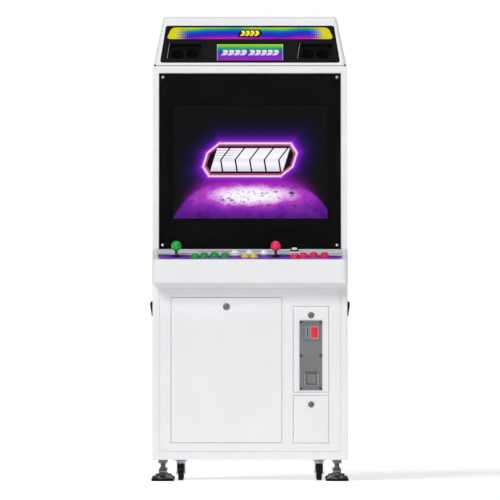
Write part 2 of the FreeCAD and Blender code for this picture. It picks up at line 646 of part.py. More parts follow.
def mounting_hardware():
    """Foot nuts and caster top plates under the base, and the four glass screws."""
    pieces = []
    nut_z = BASE_BOTTOM_Z - BASE_NUT_H
    for x in (-FOOT_X, FOOT_X):
        for y in FOOT_YS:
            nut = hexagon(BASE_NUT, x, y, nut_z, BASE_BOTTOM_Z)
            pieces.append(nut.cut(rod(STEM_R + RUNNING, (x, y, nut_z - OVER), Z_AXIS, BASE_NUT_H + 2 * OVER)))
    half_x, half_y = CASTER_PLATE_HALF
    plate_z = BASE_BOTTOM_Z - CASTER_PLATE_T
    for x in (-CASTER_X, CASTER_X):
        for y in CASTER_YS:
            plate = box(x - half_x, x + half_x, y - half_y, y + half_y, plate_z, BASE_BOTTOM_Z)
            hole = rod(KINGPIN_R + RUNNING, (x, y, plate_z - OVER), Z_AXIS, CASTER_PLATE_T + 2 * OVER)
            pieces.append(plate.cut(hole))
    for x, s in GLASS_SCREW_SPOTS:
        head = rod(SCREW_HEAD_R, (x, s, 0), Z_AXIS, SCREW_HEAD_H)
        head = head.makeFillet(SCREW_HEAD_EDGE_R, edges_where(head, lambda e: e.BoundBox.ZMin > SCREW_HEAD_H - 0.1))
        screw = fuse([head, rod(SCREW_R, (x, s, -GLASS_T), Z_AXIS, GLASS_T)])
        pieces.append(placed(screw, GLASS_FRAME))
    return group(pieces)


# ---------------------------------------------------------------- monitor housing
GLASS_GAP_X = 1.4
GLASS_GAP_S = 1.0
STEP_DEPTH = 7.0             # the glass sits in a stepped ledge this deep
STEP_FRONT = -0.5
LEDGE_HALF_W = 294.0
LEDGE_S = (20.0, 603.0)
PLINTH_HALF_W = 318.0
PLINTH_IN = 16.0
FRONT_FLANGE = 22.0
WIRE_OPENING = (300.0, 705.0, 780.0)     # half width, low and high
REAR_OPENING = (250.0, 760.0, 1350.0)
PIERCE = 400.0               # half width of a cutter wider than the body


def monitor_housing():
    outline = [
        (HOUSING_FRONT_Y, DECK_Z), (HOUSING_FRONT_Y, GLASS_BOTTOM_Z), (HOUSING_TOP_Y, HOUSING_TOP_Z),
        (BACK_Y, HOUSING_TOP_Z), (BACK_Y, DECK_Z),
    ]
    tilt = math.radians(GLASS_TILT)
    front = HOUSING_FRONT_Y + SHEET
    back = BACK_Y - SHEET
    top = HOUSING_TOP_Z - SHEET
    sloping_top_y = HOUSING_TOP_Y + SHEET / math.cos(tilt) - SHEET * math.tan(tilt)
    bend_z = GLASS_BOTTOM_Z - SHEET * math.tan(tilt / 2)
    hollow_outline = [
        (front, DECK_Z - OVER), (front, bend_z), (sloping_top_y, top), (back, top), (back, DECK_Z - OVER),
    ]
    shell = prism_x(outline, -BODY_HALF_W, BODY_HALF_W)
    shell = shell.makeFillet(BODY_CORNER_R, edges_where(shell, lambda e: edge_at(e, Z_AXIS, ("y", BACK_Y))))
    shell = shell.cut(prism_x(hollow_outline, -INSIDE_HALF_W, INSIDE_HALF_W))
    open_x = GLASS_HALF_W + GLASS_GAP_X
    open_s = GLASS_LENGTH + GLASS_GAP_S
    shell = shell.cut(placed(box(-open_x, open_x, 0, open_s, -2 * SHEET, OVER), GLASS_FRAME))
    step = ring_box(
        (-open_x - SHEET, open_x + SHEET, OVER, open_s + SHEET, -STEP_DEPTH, STEP_FRONT),
        (-open_x, open_x, -OVER, open_s, -STEP_DEPTH - OVER, OVER),
    )
    ledge = ring_box(
        (-open_x - OVER, open_x + OVER, OVER, open_s + OVER, -STEP_DEPTH, -GLASS_T),
        (-LEDGE_HALF_W, LEDGE_HALF_W, *LEDGE_S, -STEP_DEPTH - OVER, OVER),
    )
    step = step.cut(box(-PIERCE, PIERCE, -OVER, 1.2 * OVER, -2 * STEP_DEPTH, STEP_DEPTH))
    flange_y = (HOUSING_FRONT_Y + FRONT_FLANGE, BACK_Y - FLANGE_BACK)
    bottom_flange = ring_box(
        (-INSIDE_HALF_W, INSIDE_HALF_W, front, back, DECK_Z, DECK_Z + SHEET),
        (-FLANGE_HALF_W, FLANGE_HALF_W, *flange_y, DECK_Z - OVER, DECK_Z + SHEET + OVER),
    )
    plinth_y = (HOUSING_TOP_Y + PLINTH_IN, BACK_Y - PLINTH_IN)
    plinth = box(-PLINTH_HALF_W, PLINTH_HALF_W, *plinth_y, HOUSING_TOP_Z, HOOD_Z)
    shell = fuse([shell, placed(step, GLASS_FRAME), placed(ledge, GLASS_FRAME), bottom_flange, plinth])
    wire_half, wire_z0, wire_z1 = WIRE_OPENING
    rear_half, rear_z0, rear_z1 = REAR_OPENING
    return shell.cut([
        box(-wire_half, wire_half, HOUSING_FRONT_Y - OVER, front + OVER, wire_z0, wire_z1),
        box(-rear_half, rear_half, back - OVER, BACK_Y + OVER, rear_z0, rear_z1),
    ])


GLASS_CORNER_R = 3.0
GLASS_HOLE_R = 2.7


def monitor_glass():
    glass = box(-GLASS_HALF_W, GLASS_HALF_W, 0.5, GLASS_LENGTH, -GLASS_T, 0)
    glass = glass.makeFillet(GLASS_CORNER_R, edges_where(glass, lambda e: runs_along(e, Z_AXIS)))
    holes = [rod(GLASS_HOLE_R, (x, s, -GLASS_T - OVER), Z_AXIS, GLASS_T + 2 * OVER) for x, s in GLASS_SCREW_SPOTS]
    return placed(glass.cut(holes), GLASS_FRAME)


LCD_HALF_W = 290.0
LCD_S = (87.6, 533.6)
LCD_N = (-50.0, -10.0)
LCD_EARS_S = ((188.6, 212.6), (408.6, 432.6))
LCD_EARS_N = (-44.0, -26.0)
SMALL_LCD = (-120.0, 120.0, 18.0, 98.0, -11.5, -5.5)


def lcd_displays():
    """The main display with its side brackets, and the small one behind the marquee."""
    case = box(-LCD_HALF_W, LCD_HALF_W, *LCD_S, *LCD_N)
    ears = [box(-INSIDE_HALF_W, INSIDE_HALF_W, s0, s1, *LCD_EARS_N) for s0, s1 in LCD_EARS_S]
    return group([placed(fuse([case] + ears), GLASS_FRAME), placed(box(*SMALL_LCD), HOOD_FRAME)])


REAR_PANEL = (265.0, 745.0, 1365.0)      # half width, low and high
REAR_PANEL_R = 12.0
REAR_PANEL_EDGE = 17.0
REAR_PANEL_T = 1.5
REAR_VENTS = (               # count, middle x, lowest z, pitch
    (8, -120.0, 1170.0, 18.0),
    (8, 120.0, 1170.0, 18.0),
    (5, 0.0, 830.0, 18.0),
)


def rear_panel():
    half_w, z0, z1 = REAR_PANEL
    edge = REAR_PANEL_EDGE
    panel = box(-half_w, half_w, BACK_Y, REAR_PANEL_Y, z0, z1)
    panel = panel.makeFillet(REAR_PANEL_R, edges_where(panel, lambda e: runs_along(e, Y_AXIS)))
    cuts = [box(-half_w + edge, half_w - edge, BACK_Y - OVER, REAR_PANEL_Y - REAR_PANEL_T, z0 + edge, z1 - edge)]
    for vents in REAR_VENTS:
        cuts += vent_slots(*vents, BACK_Y - OVER)
    return panel.cut(cuts)


# ---------------------------------------------------------------- hood and marquee
HOOD_BACK_Y = 357.0
HOOD_BACK_TOP_Y = 325.0
HOOD_HALF_BOTTOM = 332.0
HOOD_HALF_TOP = 298.0
HOOD_T = 2.5
HOOD_EDGE_R = 14.0
HOOD_INNER_EDGE_R = 9.5
WINDOW = (11.0, 169.7, 311.0, 290.0)     # low and high t, half widths there
WINDOW_R = 9.0
WINDOW_CUT = 12.0


def rectangle(half_w, y0, y1, z):
    corners = [Vector(-half_w, y0, z), Vector(half_w, y0, z), Vector(half_w, y1, z), Vector(-half_w, y1, z)]
    return Part.makePolygon(corners + corners[:1])


def hood_solid(inset, radius):
    rise = TOP_Z - HOOD_Z
    lean = math.radians(HOOD_LEAN)
    front_shift = rise * math.tan(lean)
    step_back = inset / math.cos(lean)
    low_y = HOOD_Y + inset * math.tan(lean) + step_back
    high_y = HOOD_Y + front_shift - inset * math.tan(lean) + step_back
    bottom = rectangle(HOOD_HALF_BOTTOM - inset, low_y, HOOD_BACK_Y - inset, HOOD_Z + inset)
    top = rectangle(HOOD_HALF_TOP - inset, high_y, HOOD_BACK_TOP_Y - inset, TOP_Z - inset)
    body = Part.makeLoft([bottom, top], True, True)
    middle_z = (HOOD_Z + TOP_Z) / 2
    return body.makeFillet(radius, edges_where(body, lambda e: e.BoundBox.Center.z > middle_z - SHEET))


def hood_window(t0, t1, half0, half1, w0, w1, radius):
    wire = Part.makePolygon([
        Vector(-half0, t0, w0), Vector(half0, t0, w0), Vector(half1, t1, w0), Vector(-half1, t1, w0), Vector(-half0, t0, w0)
    ])
    plate = Part.Face(wire).extrude(Vector(0, 0, w1 - w0))
    if radius:
        plate = plate.makeFillet(radius, edges_where(plate, lambda e: runs_along(e, Z_AXIS)))
    return plate


def marquee_hood():
    shell = hood_solid(0, HOOD_EDGE_R).cut(hood_solid(HOOD_T, HOOD_INNER_EDGE_R))
    window = hood_window(*WINDOW, -WINDOW_CUT, WINDOW_CUT, WINDOW_R)
    return shell.cut(placed(window, HOOD_FRAME))


FACE_PLATE = (8.0, 175.5, 315.0, 292.0)  # low and high t, half widths there
FACE_PLATE_T = 3.0
FACE_BACK_W = -HOOD_T - FACE_PLATE_T
DISPLAY_WINDOW = (-115.0, 115.0, 22.0, 94.0)
POCKET_X = (166.0, 284.0)
POCKET_T = (31.7, 94.0)
POCKET_WALL = 2.0
POCKET_FLOOR_W = FACE_BACK_W - 20.0      # behind the pockets' floors
SPEAKER_X = 225.0
SPEAKER_STEP = 25.0
SPEAKER_T = 63.0
SPEAKER_HOLE_R = 22.0


def marquee_face():
    """Black plate behind the hood's window, with two sunk speaker pockets."""
    plate = hood_window(*FACE_PLATE, FACE_BACK_W, -HOOD_T, 0)
    trays = []
    cuts = [box(*DISPLAY_WINDOW, FACE_BACK_W - OVER, 0)]
    low_t, high_t = POCKET_T
    wall = POCKET_WALL
    for side in (-1, 1):
        x0, x1 = sorted((side * POCKET_X[0], side * POCKET_X[1]))
        trays.append(box(x0 - wall, x1 + wall, low_t - wall, high_t + wall, POCKET_FLOOR_W, FACE_BACK_W))
        cuts.append(box(x0, x1, low_t, high_t, POCKET_FLOOR_W + wall, 0))
        for dx in (-SPEAKER_STEP, SPEAKER_STEP):
            centre = (side * SPEAKER_X + dx, SPEAKER_T, POCKET_FLOOR_W - OVER)
            cuts.append(rod(SPEAKER_HOLE_R, centre, Z_AXIS, wall + 2 * OVER))
    return placed(fuse([plate] + trays).cut(cuts), HOOD_FRAME)


BASKET_HALF_W = 55.0
BASKET_T = (36.0, 90.0)
BASKET_DEPTH = 4.0
CHASSIS_R = (12.0, 23.0)
CHASSIS_FROM = 18.0          # depths behind the pocket's floor
CHASSIS_H = 14.0
MAGNET_R = 17.0
MAGNET_FROM = 30.0
MAGNET_H = 12.0
CONE_R = (8.0, 20.5)
CONE_H = 12.0
CONE_FROM = 11.9


def speakers():
    """Two small drivers on one basket behind each pocket."""
    units = []
    for side in (-1, 1):
        middle = side * SPEAKER_X
        basket_w = (POCKET_FLOOR_W - BASKET_DEPTH, POCKET_FLOOR_W)
        pieces = [box(middle - BASKET_HALF_W, middle + BASKET_HALF_W, *BASKET_T, *basket_w)]
        cuts = []
        for x in (middle - SPEAKER_STEP, middle + SPEAKER_STEP):
            pieces.append(cone(*CHASSIS_R, (x, SPEAKER_T, POCKET_FLOOR_W - CHASSIS_FROM), CHASSIS_H))
            pieces.append(rod(MAGNET_R, (x, SPEAKER_T, POCKET_FLOOR_W - MAGNET_FROM), Z_AXIS, MAGNET_H))
            cuts.append(cone(*CONE_R, (x, SPEAKER_T, POCKET_FLOOR_W - CONE_FROM), CONE_H))
        units.append(placed(fuse(pieces).cut(cuts), HOOD_FRAME))
    return group(units)


# ---------------------------------------------------------------- control box and panel
BOX_CHAMFER = (8.0, 9.0)     # along y and z, under the nose
BOX_CORNER_R = 20.0
BOX_EDGE_R = 4.0
PANEL_OPENING_V1 = 260.0
PANEL_CUT = 8.0
BOX_TAB_X = 321.0
BOX_TAB_HALF_V = 8.0
BOX_TAB_W = (-10.0, -1.0)


def control_box():
    chamfer_y, chamfer_z = BOX_CHAMFER
    outline = [
        (FRONT_Y, PANEL_FRONT_Z), (FRONT_Y, DECK_Z + chamfer_z), (FRONT_Y + chamfer_y, DECK_Z),
        (HOUSING_FRONT_Y, DECK_Z), (HOUSING_FRONT_Y, GLASS_BOTTOM_Z),
    ]
    outer = prism_x(outline, -BODY_HALF_W, BODY_HALF_W)
    outer = outer.makeFillet(BOX_CORNER_R, edges_where(outer, lambda e: edge_at(e, Z_AXIS, ("y", FRONT_Y))))
    nose = edges_where(outer, lambda e: edge_at(e, X_AXIS, ("y", FRONT_Y), ("z", PANEL_FRONT_Z)))
    outer = outer.makeFillet(BOX_EDGE_R, nose)
    front = FRONT_Y + SHEET
    lower = SHEET * math.tan(math.radians(45 - PANEL_SLOPE / 2))
    hollow_outline = [
        (front, PANEL_FRONT_Z - lower), (front, DECK_Z + chamfer_z + 1), (FRONT_Y + chamfer_y + 1.5, DECK_Z + SHEET),
        (HOUSING_FRONT_Y + OVER, DECK_Z + SHEET), (HOUSING_FRONT_Y + OVER, GLASS_BOTTOM_Z - lower),
    ]
    hollow = prism_x(hollow_outline, -INSIDE_HALF_W, INSIDE_HALF_W)
    hollow = hollow.makeFillet(BOX_CORNER_R - SHEET, edges_where(hollow, lambda e: edge_at(e, Z_AXIS, ("y", front))))
    half_w = PANEL_HALF_W + DOOR_GAP
    opening = box(-half_w, half_w, PANEL_V0 - DOOR_GAP, PANEL_OPENING_V1, -PANEL_CUT, PANEL_CUT)
    front_corners = edges_where(opening, lambda e: edge_at(e, Z_AXIS, ("y", PANEL_V0 - DOOR_GAP)))
    opening = opening.makeFillet(PANEL_CORNER_R, front_corners)
    shell = outer.cut([hollow, placed(opening, PANEL_FRAME)])
    pivot_v = PANEL_V0 + PIVOT_IN
    tabs = []
    for x0 in (-BOX_TAB_X - TAB_T, BOX_TAB_X):
        tab = box(x0, x0 + TAB_T, pivot_v - BOX_TAB_HALF_V, pivot_v + BOX_TAB_HALF_V, *BOX_TAB_W)
        hole = rod(PIN_R + RUNNING, (x0 - OVER, pivot_v, -PIVOT_BACK), X_AXIS, TAB_T + 2 * OVER)
        tabs.append(placed(tab.cut(hole), PANEL_FRAME))
    return fuse([shell] + tabs)


PanelButton = namedtuple("PanelButton", "name x v kind")


def panel_buttons():
    buttons = []
    for player, stick_x in STICKS:
        for number, (step, v) in enumerate(BUTTON_STEPS, start=1):
            buttons.append(PanelButton(player + "_button_" + str(number), stick_x + step, v, "large"))
    for name, x, v in MENU_BUTTONS:
        buttons.append(PanelButton(name, x, v, "small"))
    return buttons


ButtonSize = namedtuple("ButtonSize", "rim_r rim_h barrel_r bore_r plunger_r top")
BUTTON_SIZES = {
    "large": ButtonSize(16.5, 5.5, 14.9, 12.6, 12.25, 13.5),
    "small": ButtonSize(14.0, 4.5, 11.9, 10.1, 9.8, 11.0),
}
RIM_EDGE_R = 2.0
BARREL_DEPTH = 27.0
PLATE_UNDER = -2.0
BUTTON_NUT_H = 6.0
BUTTON_NUT_WIDER = 0.5
SWITCH_HALF = (6.0, 4.0)
SWITCH_H = 8.0
BORE_FLOOR = 3.0
PLUNGER_DEPTH = 17.0
PLUNGER_EDGE_R = 3.0


def button_housing(button):
    size = BUTTON_SIZES[button.kind]
    x, v = button.x, button.v
    rim = rod(size.rim_r, (x, v, 0), Z_AXIS, size.rim_h)
    rim = rim.makeFillet(RIM_EDGE_R, edges_where(rim, lambda e: e.BoundBox.ZMin > size.rim_h - 0.1))
    barrel = rod(size.barrel_r, (x, v, -BARREL_DEPTH), Z_AXIS, BARREL_DEPTH)
    nut = rod(size.rim_r + BUTTON_NUT_WIDER, (x, v, PLATE_UNDER - BUTTON_NUT_H), Z_AXIS, BUTTON_NUT_H)
    half_x, half_v = SWITCH_HALF
    switch = box(x - half_x, x + half_x, v - half_v, v + half_v, -BARREL_DEPTH - SWITCH_H, -BARREL_DEPTH)
    bore = rod(size.bore_r, (x, v, -BARREL_DEPTH + BORE_FLOOR), Z_AXIS, BARREL_DEPTH + size.rim_h)
    return placed(fuse([rim, barrel, nut, switch]).cut(bore), PANEL_FRAME)


def button_plunger(button):
    size = BUTTON_SIZES[button.kind]
    plunger = rod(size.plunger_r, (button.x, button.v, -PLUNGER_DEPTH), Z_AXIS, PLUNGER_DEPTH + size.top)
    plunger = plunger.makeFillet(PLUNGER_EDGE_R, edges_where(plunger, lambda e: e.BoundBox.ZMin > size.top - 0.1))
    return placed(plunger, PANEL_FRAME)


FOLD_T = 1.5
FOLD_DEPTH = -12.0
FRONT_FOLD_HALF_W = 296.0
REAR_FOLD_HALF_W = 314.0
LUG_X = 304.0
LUG_HALF_V = 6.0
LUG_DEPTH = -9.0
PANEL_PIN_L = 21.0
STICK_HOLE_R = 11.0
BARREL_CLEAR = 0.1
PLATE_CUT = (-5.0, 3.0)
GROOVE = (98.5, 100.0, -0.8)             # from v, to v, depth


def control_panel():
    plate = box(-PANEL_HALF_W, PANEL_HALF_W, PANEL_V0, PANEL_V1, PLATE_UNDER, 0)
    front_corners = edges_where(plate, lambda e: edge_at(e, Z_AXIS, ("y", PANEL_V0)))
    plate = plate.makeFillet(PANEL_CORNER_R, front_corners)
    folds = [
        box(-FRONT_FOLD_HALF_W, FRONT_FOLD_HALF_W, PANEL_V0, PANEL_V0 + FOLD_T, FOLD_DEPTH, PLATE_UNDER),
        box(-REAR_FOLD_HALF_W, REAR_FOLD_HALF_W, PANEL_V1 - FOLD_T, PANEL_V1, FOLD_DEPTH, PLATE_UNDER),
    ]
    pivot_v = PANEL_V0 + PIVOT_IN
    hinge = []
    for pin_x, lug_x in ((LUG_X, LUG_X), (-LUG_X - PANEL_PIN_L, -LUG_X - TAB_T)):
        hinge.append(rod(PIN_R, (pin_x, pivot_v, -PIVOT_BACK), X_AXIS, PANEL_PIN_L))
        hinge.append(box(lug_x, lug_x + TAB_T, pivot_v - LUG_HALF_V, pivot_v + LUG_HALF_V, LUG_DEPTH, PLATE_UNDER))
    low_w, high_w = PLATE_CUT
    cuts = [rod(STICK_HOLE_R, (spec[1], STICK_V, low_w), Z_AXIS, high_w - low_w) for spec in STICKS]
    for button in panel_buttons():
        hole_r = BUTTON_SIZES[button.kind].barrel_r + BARREL_CLEAR
        cuts.append(rod(hole_r, (button.x, button.v, low_w), Z_AXIS, high_w - low_w))
    groove_v0, groove_v1, groove_w = GROOVE
    cuts.append(box(-PANEL_HALF_W - OVER, PANEL_HALF_W + OVER, groove_v0, groove_v1, groove_w, OVER))
    return placed(fuse([plate] + folds + hinge).cut(cuts), PANEL_FRAME)


# ---------------------------------------------------------------- joysticks
CAVITY = 22.0
TRUNNION_R = 2.0
TRUNNION_HALF_L = 25.5
STICK_PLATE_HALF = (47.0, 27.0)
STICK_PLATE_T = 1.6
STICK_CASE_HALF = (30.0, 28.0)
STICK_CASE_BOTTOM = -38.0
STICK_MOUTH_R = 14.0
MOUTH_W = (-6.0, 0.0)
CAVITY_TOP = -5.0


def joystick_housing(x):
    half_x, half_v = STICK_PLATE_HALF
    plate_bottom = PLATE_UNDER - STICK_PLATE_T
    plate = box(x - half_x, x + half_x, STICK_V - half_v, STICK_V + half_v, plate_bottom, PLATE_UNDER)
    half_x, half_v = STICK_CASE_HALF
    case = box(x - half_x, x + half_x, STICK_V - half_v, STICK_V + half_v, STICK_CASE_BOTTOM, plate_bottom)
    cavity_v = (STICK_V - CAVITY, STICK_V + CAVITY)
    bearing = TRUNNION_HALF_L + 0.5
    mouth_w0, mouth_w1 = MOUTH_W
    cuts = [
        rod(STICK_MOUTH_R, (x, STICK_V, mouth_w0), Z_AXIS, mouth_w1 - mouth_w0),
        box(x - CAVITY, x + CAVITY, *cavity_v, STICK_CASE_BOTTOM - OVER, CAVITY_TOP),
        rod(TRUNNION_R + RUNNING, (x - bearing, STICK_V, STICK_PIVOT_W), X_AXIS, 2 * bearing),
    ]
    return placed(fuse([plate, case]).cut(cuts), PANEL_FRAME)


RING_OUTER = 17.0
RING_INNER = 12.0
RING_HALF_H = 3.0


def joystick_gimbal(x):
    ring = rod(RING_OUTER, (x, STICK_V, STICK_PIVOT_W - RING_HALF_H), Z_AXIS, 2 * RING_HALF_H)
    trunnions = rod(TRUNNION_R, (x - TRUNNION_HALF_L, STICK_V, STICK_PIVOT_W), X_AXIS, 2 * TRUNNION_HALF_L)
    cut_r = RING_OUTER + OVER
    cuts = [
        rod(RING_INNER, (x, STICK_V, STICK_PIVOT_W - RING_HALF_H - OVER), Z_AXIS, 2 * (RING_HALF_H + OVER)),
        rod(TRUNNION_R + RUNNING, (x, STICK_V - cut_r, STICK_PIVOT_W), Y_AXIS, 2 * cut_r),
    ]
    return placed(fuse([ring, trunnions]).cut(cuts), PANEL_FRAME)


BALL_W = 38.0
BALL_R = 17.5
SHAFT_R = 4.75
SHAFT_W = (-41.0, 21.5)
TIP_R = 3.0
TIP_H = 12.0
CROSS_PIN_HALF_L = 16.5
WASHER_R = (15.5, 13.5)
WASHER_W = 3.8
WASHER_H = 1.6


def joystick_lever(x):
    low_w, high_w = SHAFT_W
    shaft = rod(SHAFT_R, (x, STICK_V, low_w), Z_AXIS, high_w - low_w)
    tip = rod(TIP_R, (x, STICK_V, high_w), Z_AXIS, TIP_H)
    pin_start = (x, STICK_V - CROSS_PIN_HALF_L, STICK_PIVOT_W)
    cross_pin = rod(TRUNNION_R, pin_start, Y_AXIS, 2 * CROSS_PIN_HALF_L)
    washer = cone(*WASHER_R, (x, STICK_V, WASHER_W), WASHER_H)
    return placed(fuse([shaft, tip, cross_pin, washer]), PANEL_FRAME)


def joystick_ball(x):
    ball = Part.makeSphere(BALL_R, Vector(x, STICK_V, BALL_W))
    flat_w = SHAFT_W[1]
    reach = BALL_R + OVER
    below = box(x - reach, x + reach, STICK_V - reach, STICK_V + reach, flat_w - reach, flat_w)
    socket = rod(TIP_R, (x, STICK_V, flat_w - OVER), Z_AXIS, TIP_H + OVER)
    return placed(ball.cut([below, socket]), PANEL_FRAME)


# ---------------------------------------------------------------- write the pieces
save("base_shell", base_shell())
save("base_front_frame", base_front_frame())
for door_spec in DOORS:
    save(door_spec.name, door(door_spec))
    save(door_spec.name.replace("door", "lock"), cam_lock(door_spec))
save("coin_plate", coin_plate())
save("coin_reject_button", coin_reject_button())
save("coin_return_flap", coin_return_flap())
save("coin_mechanism", coin_mechanism())
save("cash_box", cash_box())
save("game_board", game_board())
save("power_supply", power_supply())
save("side_handles", side_handles())
save("mounting_hardware", mounting_hardware())
for end, foot_y, caster_y in (("front", FOOT_YS[0], CASTER_YS[0]), ("rear", FOOT_YS[1], CASTER_YS[1])):
    for hand, sign in (("left", -1), ("right", 1)):
        corner = end + "_" + hand
        save("foot_" + corner, levelling_foot(sign * FOOT_X, foot_y))
        save("caster_fork_" + corner, caster_fork(sign * CASTER_X, caster_y))
        save("caster_wheel_" + corner, caster_wheel(sign * CASTER_X, caster_y))
save("monitor_housing", monitor_housing())
save("monitor_glass", monitor_glass())
save("lcd_displays", lcd_displays())
save("rear_panel", rear_panel())
save("marquee_hood", marquee_hood())
save("marquee_face", marquee_face())
save("speakers", speakers())
save("control_box", control_box())
save("control_panel", control_panel())
save("button_housings", group([button_housing(button) for button in panel_buttons()]))
for panel_button in panel_buttons():
    save(panel_button.name, button_plunger(panel_button))
save("joystick_housings", group([joystick_housing(spec[1]) for spec in STICKS]))
for player, stick_x in STICKS:
    save(player + "_stick_gimbal", joystick_gimbal(stick_x))
    save(player + "_stick_lever", joystick_lever(stick_x))
    save(player + "_stick_ball", joystick_ball(stick_x))
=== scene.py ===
import json
import math

import bmesh
import bpy
from mathutils import Matrix, Vector


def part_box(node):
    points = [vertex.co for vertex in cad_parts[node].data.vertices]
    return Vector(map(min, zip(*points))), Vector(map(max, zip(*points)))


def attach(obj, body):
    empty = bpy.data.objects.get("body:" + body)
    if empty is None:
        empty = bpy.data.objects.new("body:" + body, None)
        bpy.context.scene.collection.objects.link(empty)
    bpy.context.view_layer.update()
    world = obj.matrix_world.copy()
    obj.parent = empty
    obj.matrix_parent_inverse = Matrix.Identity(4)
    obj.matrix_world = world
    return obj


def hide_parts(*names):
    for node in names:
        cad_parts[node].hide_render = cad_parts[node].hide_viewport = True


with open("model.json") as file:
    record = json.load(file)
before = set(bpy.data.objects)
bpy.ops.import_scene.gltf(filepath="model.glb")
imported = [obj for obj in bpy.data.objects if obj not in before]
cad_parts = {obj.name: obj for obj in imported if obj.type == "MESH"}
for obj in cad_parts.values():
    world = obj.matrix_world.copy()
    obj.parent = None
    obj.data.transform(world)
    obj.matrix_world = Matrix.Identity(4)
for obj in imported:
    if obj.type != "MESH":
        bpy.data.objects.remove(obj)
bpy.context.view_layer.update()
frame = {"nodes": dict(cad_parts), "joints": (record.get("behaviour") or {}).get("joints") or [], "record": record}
NODES = frame["nodes"]
JOINTS = {joint["name"]: joint for joint in frame["joints"]}
MM = 0.001


# ---------------------------------------------------------------- places
def tilted(origin, degrees):
    """A frame at origin (metres) turned about X: local x across, y up the slope, z out of it."""
    return Matrix.Translation(Vector(origin)) @ Matrix.Rotation(math.radians(degrees), 4, "X")


def node_box(name):
    """A CAD node's lowest and highest corners in millimetres."""
    low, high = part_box(name)
    return low * 1000, high * 1000


PANEL_SLOPE = 11.0
GLASS_TILT = 13.0
HOOD_LEAN = 35.0
HINGE_IN_PANEL = Vector((0, 30, -5)) * MM
PANEL = tilted(JOINTS["control_panel_hinge"]["pos_m"], PANEL_SLOPE) @ Matrix.Translation(-HINGE_IN_PANEL)
GLASS = tilted((0, -0.1748, 0.798), 90 - GLASS_TILT)
HOOD = tilted((0, -0.028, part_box("marquee_hood")[0].z), 90 - HOOD_LEAN)
FRONT_Y = node_box("base_front_frame")[0].y
FRONT = tilted((0, FRONT_Y * MM, 0), 90)
REAR_Y = node_box("rear_panel")[1].y
REAR = Matrix.Translation((0, REAR_Y * MM, 0)) @ Matrix.Rotation(math.pi, 4, "Z") @ tilted((0, 0, 0), 90)
BASE_BACK_Y = node_box("base_shell")[1].y
BASE_BACK = Matrix.Translation((0, BASE_BACK_Y * MM, 0)) @ Matrix.Rotation(math.pi, 4, "Z") @ tilted((0, 0, 0), 90)
UPRIGHT = Matrix.Identity(4)
SIDEWAYS = Matrix.Rotation(math.radians(90), 4, "Y")


# ---------------------------------------------------------------- mesh builders, in millimetres
def add_loops(bm, loops, ring=False, place=UPRIGHT):
    """Joins loops of equal length into a skin. A ring closes on itself; otherwise both ends are capped."""
    rings = [[bm.verts.new(place @ Vector(point)) for point in loop] for loop in loops]
    pairs = list(zip(rings, rings[1:]))
    if ring:
        pairs.append((rings[-1], rings[0]))
    count = len(rings[0])
    for lower, upper in pairs:
        for i in range(count):
            j = (i + 1) % count
            bm.faces.new((lower[i], lower[j], upper[j], upper[i]))
    if not ring:
        bm.faces.new(rings[0][::-1])
        bm.faces.new(rings[-1])


def polar_loop(radius_at, z, centre, segments):
    angles = [2 * math.pi * i / segments for i in range(segments)]
    return [
        (centre[0] + radius_at(a) * math.cos(a), centre[1] + radius_at(a) * math.sin(a), z) for a in angles
    ]


def circle(radius, z, centre=(0, 0), segments=48):
    return polar_loop(lambda a: max(radius, 0.02), z, centre, segments)


def hexagon(across_flats, z, centre=(0, 0), segments=48):
    def radius_at(a):
        turn = (a + math.pi / 6) % (math.pi / 3) - math.pi / 6
        return across_flats / 2 / math.cos(turn)
    return polar_loop(radius_at, z, centre, segments)


def cross(arm, half_width, z, centre=(0, 0), segments=48):
    def radius_at(a):
        turn = (a + math.pi / 4) % (math.pi / 2) - math.pi / 4
        if abs(math.tan(turn)) <= half_width / arm:
            return arm / math.cos(turn)
        return half_width / abs(math.sin(turn))
    return polar_loop(radius_at, z, centre, segments)


def add_turned(bm, profile, centre=(0, 0), segments=48, ring=False, place=UPRIGHT):
    """Solid of revolution about local z, from (radius, height) points."""
    loops = [circle(radius, height, centre, segments) for radius, height in profile]
    add_loops(bm, loops, ring, place)


def rounded_rect(x0, x1, y0, y1, radius, z, steps=5):
    points = []
    corners = ((x1 - radius, y1 - radius, 0), (x0 + radius, y1 - radius, 90),
               (x0 + radius, y0 + radius, 180), (x1 - radius, y0 + radius, 270))
    for cx, cy, start in corners:
        for i in range(steps + 1):
            a = math.radians(start + 90 * i / steps)
            points.append((cx + radius * math.cos(a), cy + radius * math.sin(a), z))
    return points


def add_block(bm, low, high, corner=1.0, edge=0.4, place=UPRIGHT):
    """Block with rounded corners seen from above and softened top and bottom edges."""
    (x0, y0, z0), (x1, y1, z1) = low, high
    edge = min(edge, corner * 0.9, (z1 - z0) * 0.45)
    levels = ((edge, z0), (edge * 0.3, z0 + edge * 0.3), (0, z0 + edge),
              (0, z1 - edge), (edge * 0.3, z1 - edge * 0.3), (edge, z1))
    loops = [rounded_rect(x0 + d, x1 - d, y0 + d, y1 - d, max(corner - d, 0.05), z) for d, z in levels]
    add_loops(bm, loops, False, place)


def add_frame(bm, outer, inner, z0, z1, outer_corner, inner_corner, edge=0.4, place=UPRIGHT):
    """Flat rectangular ring. outer and inner are (x0, x1, y0, y1)."""
    def rect(box, corner, grow, z):
        return rounded_rect(box[0] - grow, box[1] + grow, box[2] - grow, box[3] + grow, max(corner + grow, 0.05), z)
    loops = [
        rect(outer, outer_corner, 0, z0), rect(outer, outer_corner, 0, z1 - edge),
        rect(outer, outer_corner, -edge, z1), rect(inner, inner_corner, edge, z1),
        rect(inner, inner_corner, 0, z1 - edge), rect(inner, inner_corner, 0, z0),
    ]
    add_loops(bm, loops, True, place)


